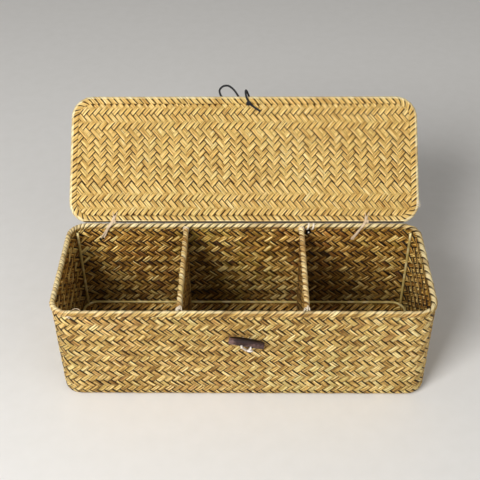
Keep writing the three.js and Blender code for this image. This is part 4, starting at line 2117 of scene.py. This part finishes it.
@dataclass
class Lid:
    """The lid, standing open.

    Attributes:
        outline: its outline when it lies closed.
        hinge: Y and Z of the axis that it turns about.
        open_angle: how far it is turned from closed, in degrees.
        middle: height of its middle when closed.
        wall: its thickness.
        roll: radius of the fold over its edge wire.
        tightness: how much slimmer the fold is along the hinge, as a share.
        columns: crossings along it.
        rows: levels of crossings across it.
        border_rows: levels at its front and rear edge that stand in rows.
        edge_strips: how many strips are folded over its edge.
        weave_inset: how far inside the outline the weave ends.
    """

    outline: Outline = Outline(370.0, 138.0, 23.0)
    hinge: Flat = (68.1448, 120.15)
    open_angle: float = 137.0
    middle: float = 123.3
    wall: float = 3.0
    roll: float = 3.0
    tightness: float = 0.24
    columns: int = 54
    rows: int = 31
    border_rows: int = 8
    edge_strips: int = 141
    weave_inset: float = 6.4

    def opened(self, points: np.ndarray) -> np.ndarray:
        """Turns places on the closed lid to where they are on the open one.

        Args:
            points: the places.

        Returns:
            The places, turned.
        """
        turn = math.radians(-self.open_angle)
        y = points[:, 1] - self.hinge[0]
        z = points[:, 2] - self.hinge[1]
        return np.column_stack(
            [
                points[:, 0],
                self.hinge[0] + y * math.cos(turn) - z * math.sin(turn),
                self.hinge[1] + y * math.sin(turn) + z * math.cos(turn),
            ]
        )

    def on_inside(self, x: float, up: float, out: float) -> np.ndarray:
        """A place told from the middle of the rear edge, in the open lid's own directions."""
        rear = self.outline.depth / 2 - self.roll
        return self.opened(np.array([[x, rear - up, self.middle - out]]))[0]

    def build(self, plaiter: Plaiter, finishes: Finishes) -> None:
        """Makes and dresses every piece of the lid.

        Args:
            plaiter: makes the sheets and the folded edges.
            finishes: the materials.
        """
        width = self.outline.length - 2 * self.weave_inset
        depth = self.outline.depth - 2 * self.weave_inset
        edge = under_edge(self.outline, self.weave_inset - 0.8, drop=0.3)
        flat = plane((-width / 2, -depth / 2, 0), (1, 0, 0), (0, 1, 0))
        level = self.wall / 2 - 0.5
        for name, side, nodes in (("lid_weave_inside", -1, ("lid_panel",)), ("lid_weave_outside", 1, ())):
            laid = plane((0, 0, self.middle + side * level), (1, 0, 0), (0, side, 0))
            piece = plaiter.sheet(
                name,
                columns=self.columns,
                rows=self.rows,
                size=(width, depth),
                border=self.border_rows,
                endless=False,
                material=finishes.lid,
                place=then(flat, edge, laid, self.opened),
            )
            finish_with(piece, "lid", "lid_seagrass", *nodes)
        # The lid's core is a sheet in painted shade that stands for its inner strips seen through the gaps.
        neck = arc((self.roll, self.middle), self.roll - 1.1, -125, 125)
        start, end = ((self.roll + 3.2, self.middle + side * 0.35) for side in (-1, 1))
        place = then(self._drawn_tight, self.opened)
        piece = shell_piece("lid_core", self.outline, [start] + neck + [end], finishes.lid_core, place)
        finish_with(piece, "lid", "lid_seagrass")
        self._fold(plaiter, finishes)
        paint_wire("lid_wire", finishes)

    def _fold(self, plaiter: Plaiter, finishes: Finishes) -> None:
        """Folds the strips over the edge wire and back on to both faces.

        Args:
            plaiter: makes the sheets and the folded edges.
            finishes: the materials.
        """
        # Inset of the strip's free end, down to the wire, and how far it stands off the middle there
        legs = ((8.4, 1.7), (7.6, 1.95), (6.4, 2.1), (5.2, 2.1))
        below = [(inset, self.middle - out) for inset, out in legs]
        above = [(inset, self.middle + out) for inset, out in reversed(legs)]
        crest = arc((self.roll, self.middle), self.roll - 0.5, -72, 72, steps=10)
        section = Section(below + crest + above)
        place = then(wrapped(self.outline, section, Facing.OUTSIDE, 3.0), self._drawn_tight, self.opened)
        piece = plaiter.folds(
            "lid_edge_strips",
            count=self.edge_strips,
            girth=self.outline.girth(3.0),
            travel=section.length,
            slant=-17.0,
            laps=(1.06, 0.14, 0.0, 0.3),
            material=finishes.lid_edge,
            place=place,
            rise=0.3,
        )
        finish_with(piece, "lid", "pale_fold", "lid_fold")

    def _drawn_tight(self, points: np.ndarray) -> np.ndarray:
        """Draws the fold tight round its wire where the ties hold it, along the hinge.

        Args:
            points: the places.

        Returns:
            The places, moved.
        """
        wire = np.array([self.outline.depth / 2 - self.roll, self.middle])
        near = np.clip((points[:, 1] - wire[0] + 4.5) / 3.5, 0, 1)
        straight = np.clip((self.outline.length / 2 - 12 - np.abs(points[:, 0])) / 12, 0, 1)
        share = 1 - self.tightness * near * straight
        return np.column_stack([points[:, 0], wire + (points[:, 1:] - wire) * share[:, None]])


@dataclass
class HingeTie:
    """One raffia tie that holds the lid to the rear rim.

    Attributes:
        name: left or right.
        x: place of its middle.
        spread: how far its two strips part at the wall.
        holes: whether the holes that they come out of are open, shown as dark plugs in painted shade.
        drift: how far it leans to the side.
        drift_at: where it does so, from its hole in the wall to the one in the lid.
        hole: Y and Z of its hole in the wall.
        over_lid: Y and Z of the lid's edge that it runs over.
        top: Y and Z of its upper end.
    """

    name: str
    x: float
    spread: float
    holes: bool = False
    drift: tuple[float, ...] = (-5.4, -2.0, 1.1, 3.4, 7.4, 8.4)
    drift_at: tuple[float, ...] = (0.0, 0.2, 0.41, 0.55, 0.76, 0.92)
    hole: Flat = (66.0, 101.0)
    over_lid: Flat = (73.2, 120.5)
    top: Flat = (77.35, 124.42)

    def build(self, lid: Lid, finishes: Finishes) -> None:
        """Makes the strap round rim and lid, in two strips, with its knot and ends.

        Args:
            lid: the lid, from whose rear edge places on it are told.
            finishes: the materials.
        """
        parts = self._knot(lid, finishes)
        for side, slack in ((-1, 0.0), (1, 0.25)):
            discs = ((REAR_RIM, 3.3 + slack), (self.over_lid, 3.2 + slack), (self.hole, 1.7 + slack))
            path, outward = belt(discs, steps=90)
            low, high = np.array(self.hole), np.array(self.top)
            share = ((path - low) @ (high - low)) / float((high - low) @ (high - low))
            x = self.x + np.interp(share, self.drift_at, self.drift)
            x = x + side * self.spread / 2 * np.interp(share, (0.0, 0.5), (1.0, 0.25))
            width = np.interp(share, (0.0, 0.3, 0.6, 0.85, 1.0), (1.8, 1.7, 2.4, 2.6, 1.6))
            route = np.column_stack([x, path])
            faces = np.column_stack([np.zeros(len(path)), outward])
            parts.append(ribbon("strap", route, faces, width, 0.45, finishes.tie, closed=True))
        piece = joined(f"tie_{self.name}", parts)
        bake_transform(piece)
        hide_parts(f"hinge_tie_{self.name}")
        if not self.holes:
            return
        # Dark plugs in painted shade stand for the holes in the wall.
        holes = []
        for side in (-1, 1):
            x = self.x + self.drift[0] + side * self.spread / 2 - 0.5
            middle = [(x, y, self.hole[1] + 0.6 + 0.4 * side) for y in (65.2, 62.9)]
            holes.append(Yarn(1.1).run("hole", np.array(middle), finishes.bore))
        finish_with(joined(f"tie_{self.name}_holes", holes), "basket", "seagrass")

    def _knot(self, lid: Lid, finishes: Finishes) -> list[Piece]:
        """Makes the flat knot on the lid's edge, with its turns and its two thin ends.

        Args:
            lid: the lid, from whose rear edge places on it are told.
            finishes: the materials.

        Returns:
            The pieces of the knot.
        """
        parts = []
        inner = lid.on_inside(0, 0, 5.0) - lid.on_inside(0, 0, 4.0)
        x = self.x + 8.2
        turns = (
            (0.0, 0.3, 2.8, 2.3, 0.3),
            (0.5, 2.3, 2.3, 2.1, 0.7),
            (-0.9, 1.2, 2.0, 1.9, 1.0),
            (1.3, 1.9, 1.5, 1.5, 1.2),
        )
        for shift, turn, reach, width, over in turns:
            steps = np.linspace(-1, 1, 15)
            ups = reach * steps * math.sin(turn) - 1.2
            bulge = np.sqrt(np.maximum(4.0**2 - np.clip(ups, -3.0, 0.0) ** 2, 0.5))
            outs = bulge - 0.2 * np.maximum(ups, 0) + over
            rights = x + shift + reach * steps * math.cos(turn)
            route = np.array([lid.on_inside(*place) for place in zip(rights, ups, outs)])
            narrow = width * (1 - 0.35 * steps**2)
            parts.append(ribbon("turn", route, np.tile(inner, (len(steps), 1)), narrow, 0.4, finishes.tie))
        for shift, lean in ((-0.6, -0.1), (0.9, 0.35)):
            ups = np.linspace(2.5, 9.0, 9)
            route = np.array([lid.on_inside(x + shift + lean * (up - 2.5), up, 2.75) for up in ups])
            narrow = np.interp(ups, (2.5, 9.0), (1.0, 0.5))
            parts.append(ribbon("end", route, np.tile(inner, (len(ups), 1)), narrow, 0.3, finishes.tie))
        return parts


@dataclass
class RaffiaEnds:
    """Loose ends and small stitches of raffia.

    Attributes:
        corner: routes of the pale ends outside the front left corner.
        darker: route of the darker one beside them.
        inner: route of the one inside that corner.
        tuft: routes of those on the lid's right edge, told as for Lid.on_inside.
    """

    corner: tuple[Route, ...] = (
        ((-166.6, -67.2, 113.0), (-165.4, -68.6, 115.2), (-163.6, -68.8, 115.6), (-162.4, -67.2, 113.4)),
        ((-165.8, -67.0, 116.0), (-164.6, -68.9, 114.6), (-163.2, -68.7, 113.2), (-163.4, -67.0, 112.2)),
    )
    darker: Route = (
        (-162.6, -67.2, 115.6), (-161.4, -68.6, 114.4), (-160.6, -68.3, 112.8), (-161.4, -67.0, 111.8),
    )
    inner: Route = (
        (-162.0, -62.4, 116.6), (-160.4, -61.6, 118.0), (-158.0, -61.2, 118.6), (-155.6, -61.3, 118.3),
        (-153.8, -61.8, 117.0), (-153.4, -62.4, 115.4),
    )
    tuft: tuple[Route, ...] = (
        ((181.6, 20.6, 3.2), (184.0, 19.4, 3.6), (186.4, 19.8, 2.2)),
        ((182.0, 18.4, 3.2), (184.4, 17.8, 3.4), (186.6, 16.4, 1.8)),
        ((181.4, 16.6, 3.2), (183.4, 15.6, 3.6), (185.8, 14.2, 2.6)),
    )

    def build(self, lid: Lid, finishes: Finishes) -> None:
        """Makes the ends on each body.

        Args:
            lid: the lid, from whose rear edge places on it are told.
            finishes: the materials.
        """
        ends = [self._end(route, finishes.raffia) for route in self.corner]
        ends += [self._end(self.darker, finishes.tie), self._end(self.inner, finishes.tie, 0.3)]
        finish_with(joined("corner_raffia", ends), "basket", "raffia")
        self._wraps(finishes)
        tuft = [self._end([lid.on_inside(*point) for point in route], finishes.raffia) for route in self.tuft]
        finish_with(joined("lid_raffia", tuft), "lid", "raffia")

    @staticmethod
    def _end(route: Sequence[Sequence[float]], material: Material, radius: float = 0.38) -> Piece:
        """Makes one loose end."""
        return raffia_yarn(radius).run("end", smooth_route(route, 6), material, taper=0.5)

    @staticmethod
    def _wraps(finishes: Finishes) -> None:
        """Makes the two flat wraps over the rear rim and the end that comes through the wall below them.

        Args:
            finishes: the materials.
        """
        below = (REAR_RIM[0], REAR_RIM[1] - 1)
        path, outward = belt(((REAR_RIM, 3.15), (below, 3.1)), steps=60)
        faces = np.column_stack([np.zeros(len(path)), outward])
        parts = []
        for x, lean in ((67.4, 0.3), (72.6, 0.24)):
            route = np.column_stack([x + lean * (path[:, 1] - REAR_RIM[1]), path])
            parts.append(ribbon("wrap", route, faces, 2.0, 0.35, finishes.raffia, closed=True))
        stub = ((68.0, 66.0, 111.2), (68.0, 64.0, 111.4), (68.1, 62.1, 111.3), (68.5, 61.7, 110.7))
        route = smooth_route(stub, 6)
        parts.append(raffia_yarn(0.85, sides=10).run("stub", route, finishes.raffia, taper=0.5))
        finish_with(joined("rear_wraps", parts), "basket", "raffia")
        # A dark plug in painted shade stands for the hole that the end comes through.
        middle = np.array([(68.0, y, 110.9) for y in (65.6, 62.8)])
        finish_with(Yarn(2.5, sides=14).run("rear_hole", middle, finishes.bore), "basket", "seagrass")


@dataclass
class Toggle:
    """The toggle and the cotton cord that holds it.

    Attributes:
        x: place of its middle, with y and z.
        tilt: how far its right end hangs, in radians.
        lean: how far its bores slope up to the rear.
        length: from end to end.
        end_radius: radius at its ends.
        swell: how much thicker its middle is.
        bore: how far from the middle each bore is.
        bore_radius: radius of a bore.
    """

    x: float = 3.3
    y: float = -74.6
    z: float = 86.6
    tilt: float = math.radians(12.5)
    lean: float = math.atan2(3, 4)
    length: float = 34.0
    end_radius: float = 3.5
    swell: float = 0.8
    bore: float = 4.4
    bore_radius: float = 1.3

    def at(self, along: np.ndarray, through: np.ndarray, across: np.ndarray) -> np.ndarray:
        """Turns places told along the toggle, through its bores and across both into the frame.

        Args:
            along: distances from the middle, to the right.
            through: distances to the rear through a bore.
            across: distances up, across both.

        Returns:
            The places in the frame.
        """
        y = through * math.cos(self.lean) - across * math.sin(self.lean)
        z = through * math.sin(self.lean) + across * math.cos(self.lean)
        x = along * math.cos(self.tilt) + z * math.sin(self.tilt)
        height = self.z - along * math.sin(self.tilt) + z * math.cos(self.tilt)
        return np.column_stack([self.x + x, self.y + y, height])

    def build(self, finishes: Finishes) -> None:
        """Makes the toggle and its cord."""
        self._body(finishes)
        self._cord(finishes)

    def _body(self, finishes: Finishes) -> None:
        """Makes the turned body with its two bores.

        Args:
            finishes: the materials.
        """
        around = 40
        half = self.length / 2
        shares = np.concatenate([[-1.0, -0.985], np.linspace(-0.95, 0.95, 29), [0.985, 1.0]])
        angle = np.linspace(0, TURN, around, endpoint=False)
        points = []
        for share in shares:
            arch = self.swell * (1 - share * share)
            bevel = 0.45 if abs(share) == 1 else 0.12 if abs(share) > 0.98 else 0.0
            wobble = 1 + 0.012 * np.sin(3 * angle + 5 * share) + 0.008 * np.sin(7 * angle - 9 * share)
            radius = (self.end_radius + arch - bevel) * wobble
            ring = self.at(np.full(around, share * half), radius * np.sin(angle), radius * np.cos(angle))
            points.append(ring + np.array([0.0, 0.0, arch]))
        faces = [tuple(reversed(face)) for face in ring_faces(len(shares), around, closed=False)]
        piece = mesh_piece("toggle_body", np.concatenate(points), faces, finishes.horn)
        for side in (-1, 1):
            self._drill(piece, side, finishes)
        finish_with(piece, "toggle", "dark_horn", "toggle")

    def _drill(self, piece: Piece, side: int, finishes: Finishes) -> None:
        """Cuts one bore, wide where the cord has worn its mouth.

        Args:
            piece: the body.
            side: minus one for the left bore, one for the right.
            finishes: the materials.
        """
        around = 20
        angle = np.linspace(0, TURN, around, endpoint=False)
        rims = []
        for end, radius, rise, out in (
            (-7.0, 3.8, 5.2, 1.9),
            (-2.2, self.bore_radius, 0.4, 0.0),
            (9.0, self.bore_radius, 0.0, 0.0),
        ):
            along = side * (self.bore + out) + radius * np.cos(angle)
            rims.append(self.at(along, np.full(around, end), rise + radius * np.sin(angle)))
        faces = ring_faces(len(rims), around, closed=False)
        # The cut faces take the near-black hole finish: painted shade inside the bore.
        cutter = mesh_piece("bore", np.concatenate(rims), faces, finishes.bore, smooth=False)
        self._outward(cutter)
        cut = piece.modifiers.new("bore", "BOOLEAN")
        cut.object = cutter
        cut.solver = "EXACT"
        cut.material_mode = "TRANSFER"
        settle(piece)
        bpy.data.objects.remove(cutter)

    @staticmethod
    def _outward(piece: Piece) -> None:
        """Makes the faces of a closed mesh look outwards.

        Args:
            piece: the mesh's object.
        """
        work = bmesh.new()
        work.from_mesh(piece.data)
        bmesh.ops.recalc_face_normals(work, faces=work.faces)
        work.to_mesh(piece.data)
        work.free()

    def _cord(self, finishes: Finishes) -> None:
        """Makes the V of cotton cord through the bores, its knot inside the wall and its stitch.

        Args:
            finishes: the materials.
        """
        parts = []
        on_toggle = np.array(
            (
                (4.4, -4.6, 1.7), (4.4, -2.8, 0.3), (4.4, 0.0, 0.0), (4.4, 3.6, -0.2), (3.8, 4.4, -1.5),
                (2.2, 4.25, -2.7), (0.0, 4.2, -2.9),
            )
        )
        for side, stitch_x in ((-1, -0.5), (1, 2.6)):
            in_wall = np.array([(self.x + stitch_x, y, 70.6) for y in (-61.8, -66.0, -68.6)])
            placed = self.at(side * on_toggle[:, 0], on_toggle[:, 1], on_toggle[:, 2])
            start, end = in_wall[-1], placed[0]
            reach = [start + (end - start) * share + np.array([0.0, -0.2, 0.1]) for share in (0.35, 0.7)]
            path = smooth_route(np.vstack([in_wall, reach, placed]), 10)
            parts.append(cotton_yarn(1.1).run("half", path, finishes.cotton))
        angle = np.linspace(0, 2 * TURN, 60)
        sideways, back, up = 1.5 * np.cos(angle), 0.7 * np.sin(1.5 * angle), 1.5 * np.sin(angle)
        knot = np.column_stack([self.x + sideways, -61.9 + back, 70 + up])
        parts.append(cotton_yarn(0.9).run("knot", knot, finishes.cotton, taper=1.0))
        for stitch in (
            ((-0.5, -68.4, 70.4), (0.9, -69.9, 71.6), (2.9, -70.1, 71.9), (5.0, -68.6, 70.8)),
            ((0.6, -68.4, 69.4), (2.2, -69.7, 70.2), (4.4, -69.6, 70.0), (6.2, -68.3, 69.0)),
        ):
            route = smooth_route([(self.x + x, y, z) for x, y, z in stitch], 8)
            parts.append(cotton_yarn(1.0).run("stitch", route, finishes.cotton, taper=1.0))
        piece = joined("toggle_cotton", parts)
        finish_with(piece, "toggle", "cotton", "toggle_cord")


@dataclass
class Elastic:
    """The elastic loop over the lid's front edge, its knot and its tail.

    Attributes:
        x: place of its hole along the lid.
        up: how far that is from the hinge edge.
        radius: its radius.
        route: the loop's way, told from the hole: to the right, up and out of the lid's inner face.
        tail: the tail's way, told in the same way.
    """

    x: float = 5.0
    up: float = 126.3
    radius: float = 1.1
    route: Route = (
        (-0.9, 2.8, 4.5), (-2.1, 5.7, 4.7), (-2.9, 8.7, 4.7), (-3.3, 11.9, 4.2), (-3.2, 14.4, 2.6),
        (-2.6, 15.4, 0.0), (-1.5, 14.3, -2.7), (-0.1, 11.3, -4.6), (1.5, 7.3, -5.6), (3.2, 3.0, -6.0),
        (3.8, -1.5, -6.0),
        (1.4, -5.5, -5.8), (-3.0, -7.3, -5.4), (-8.6, -7.3, -5.0), (-14.0, -5.7, -4.7), (-19.2, -2.4, -4.6),
        (-23.4, 2.3, -4.8), (-26.9, 7.1, -4.9), (-30.4, 11.9, -4.8), (-31.4, 17.3, -4.7), (-27.8, 21.4, -4.6),
        (-22.3, 22.1, -4.6), (-17.2, 18.8, -4.7), (-13.2, 13.7, -4.9), (-9.9, 8.4, -5.6), (-6.8, 4.2, -7.2),
        (-3.3, 1.2, -8.1), (-0.6, 0.1, -6.0), (0.0, 0.0, -2.6), (0.0, 0.0, 1.4),
    )
    tail: Route = ((0.0, 0.0, 4.3), (2.8, -1.7, 3.6), (7.2, -4.9, 3.0), (12.8, -8.8, 3.4))

    def build(self, lid: Lid, finishes: Finishes) -> None:
        """Makes the loop, which is a cord, and the knot with the tail."""
        self._loop(lid, finishes)
        self._knot(lid, finishes)

    def _placed(self, lid: Lid, points: Sequence[Sequence[float]]) -> np.ndarray:
        """Places points that are told from the knot's hole."""
        return np.array([lid.on_inside(self.x + x, self.up + up, out) for x, up, out in points])

    def _loop(self, lid: Lid, finishes: Finishes) -> None:
        """Args:
            lid: the lid, from whose rear edge places on it are told.
            finishes: the materials.
        """
        path = smooth_route(self._placed(lid, self.route), 8)
        piece = Yarn(self.radius).run("elastic_cord", path, finishes.elastic)
        start, end = self._placed(lid, ((-4.0, 0.0, -5.0), (-16.0, 0.0, -5.0))) * MM
        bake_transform(piece)
        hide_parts("elastic_loop")
        2 * self.radius * MM

    def _knot(self, lid: Lid, finishes: Finishes) -> None:
        """Makes the knot on the lid's inner face and its tail.

        Args:
            lid: the lid, from whose rear edge places on it are told.
            finishes: the materials.
        """
        turns = []
        for angle in np.linspace(0, 2.6 * TURN, 60):
            turns.append((1.5 * math.cos(angle), 1.3 * math.sin(angle), 4.3 + 1.0 * math.sin(1.6 * angle)))
        knot = Yarn(self.radius).run("knot", self._placed(lid, turns), finishes.elastic, taper=0.6)
        route = smooth_route(self._placed(lid, self.tail), 8)
        tail = Yarn(self.radius).run("tail", route, finishes.elastic, taper=0.8)
        piece = joined("elastic_knot_and_tail", [knot, tail])
        finish_with(piece, "lid", "elastic", "elastic_knot")


# Studio


@dataclass
class Studio:
    """Camera, floor and lights.

    Attributes:
        lens: focal length in millimetres, on a sensor 36 wide.
        place: where the camera is, in metres.
        pitch: how far it looks down.
        yaw: how far it looks to the right.
        roll: how far it is turned about its own axis.
        aim: where the lamps look, in metres.
    """

    lens: float = 66.57
    place: Spot = (0.0072, -0.6635, 0.6998)
    pitch: float = math.radians(39.53)
    yaw: float = math.radians(-0.89)
    roll: float = math.radians(-0.53)
    aim: Spot = (0.0, 0.05, 0.08)

    def camera(self) -> None:
        """Sets the camera at the photograph's angle."""
        level = math.cos(self.pitch)
        forward = Vector((math.sin(self.yaw) * level, math.cos(self.yaw) * level, -math.sin(self.pitch)))
        right = Vector((math.cos(self.yaw), -math.sin(self.yaw), 0.0))
        up = right.cross(forward)
        side = right * math.cos(self.roll) + up * math.sin(self.roll)
        top = up * math.cos(self.roll) - right * math.sin(self.roll)
        data = bpy.data.cameras.new("photo camera")
        data.lens = self.lens
        data.sensor_width = 36.0
        data.sensor_fit = "HORIZONTAL"
        data.clip_start = 0.01
        data.clip_end = 20.0
        camera = bpy.data.objects.new("photo camera", data)
        bpy.context.scene.collection.objects.link(camera)
        turned = Matrix((side, top, -forward)).transposed().to_4x4()
        camera.matrix_world = Matrix.Translation(self.place) @ turned
        bpy.context.scene.camera = camera

    def light(self) -> None:
        """Lays the floor and sets plain soft lights."""
        half = 2.0 / MM
        corners = np.array([(-half, -half, 0), (half, -half, 0), (half, half, 0), (-half, half, 0)])
        floor = mesh_piece("floor", corners, [(0, 1, 2, 3)], FloorFinish().material(), smooth=False)
        self._area("key", (-0.85, -1.2, 1.25), size=0.8, power=35.5)
        self._area("fill", (1.2, -1.1, 1.2), size=1.4, power=7.0)
        world = bpy.data.worlds.new("studio")
        bpy.context.scene.world = world
        world.use_nodes = True
        graph = Graph(world.node_tree)
        graph.tree.nodes.clear()
        path = graph.node("ShaderNodeLightPath", {}, {}, "Is Camera Ray")
        for ray in ("Is Glossy Ray", "Is Transmission Ray"):
            path = path + graph.node("ShaderNodeLightPath", {}, {}, ray)
        seen = graph.node("ShaderNodeBackground", {}, {"Color": srgb(236, 235, 232), "Strength": 1.0})
        glow = graph.node("ShaderNodeBackground", {}, {"Color": (1.0, 0.98, 0.95, 1.0), "Strength": 0.22})
        mixed = graph.node("ShaderNodeMixShader", {}, {0: path.held(), 1: glow, 2: seen})
        graph.end("ShaderNodeOutputWorld", mixed)
        bpy.context.scene.view_settings.view_transform = "Standard"

    def _area(self, name: str, place: Spot, size: float, power: float) -> None:
        """Adds a square lamp that looks at the box.

        Args:
            name: the lamp's name.
            place: where it is, in metres.
            size: its width and height.
            power: its power in watts.
        """
        data = bpy.data.lights.new(name, "AREA")
        data.shape = "SQUARE"
        data.size = size
        data.energy = power
        lamp = bpy.data.objects.new(name, data)
        bpy.context.scene.collection.objects.link(lamp)
        turned = (Vector(self.aim) - Vector(place)).to_track_quat("-Z", "Y").to_matrix().to_4x4()
        lamp.matrix_world = Matrix.Translation(place) @ turned


def main() -> None:
    """Builds and dresses the whole box."""
    logging.basicConfig(level=logging.INFO, format="%(name)s %(message)s")
    studio = Studio()
    studio.camera()
    finishes = make_finishes()
    lid = Lid()
    Elastic().build(lid, finishes)
    plaiter = Plaiter()
    Basket().build(plaiter, finishes)
    Divider("left", x=-60.5, strands=LEFT_STRANDS).build(plaiter, finishes)
    Divider("right", x=60.5, strands=RIGHT_STRANDS).build(plaiter, finishes)
    lid.build(plaiter, finishes)
    HingeTie("left", x=-145.0, spread=3.2, holes=True).build(lid, finishes)
    HingeTie("right", x=120.5, spread=1.9).build(lid, finishes)
    RaffiaEnds().build(lid, finishes)
    Toggle().build(finishes)
    studio.light()


if __name__ == "__main__":
    main()
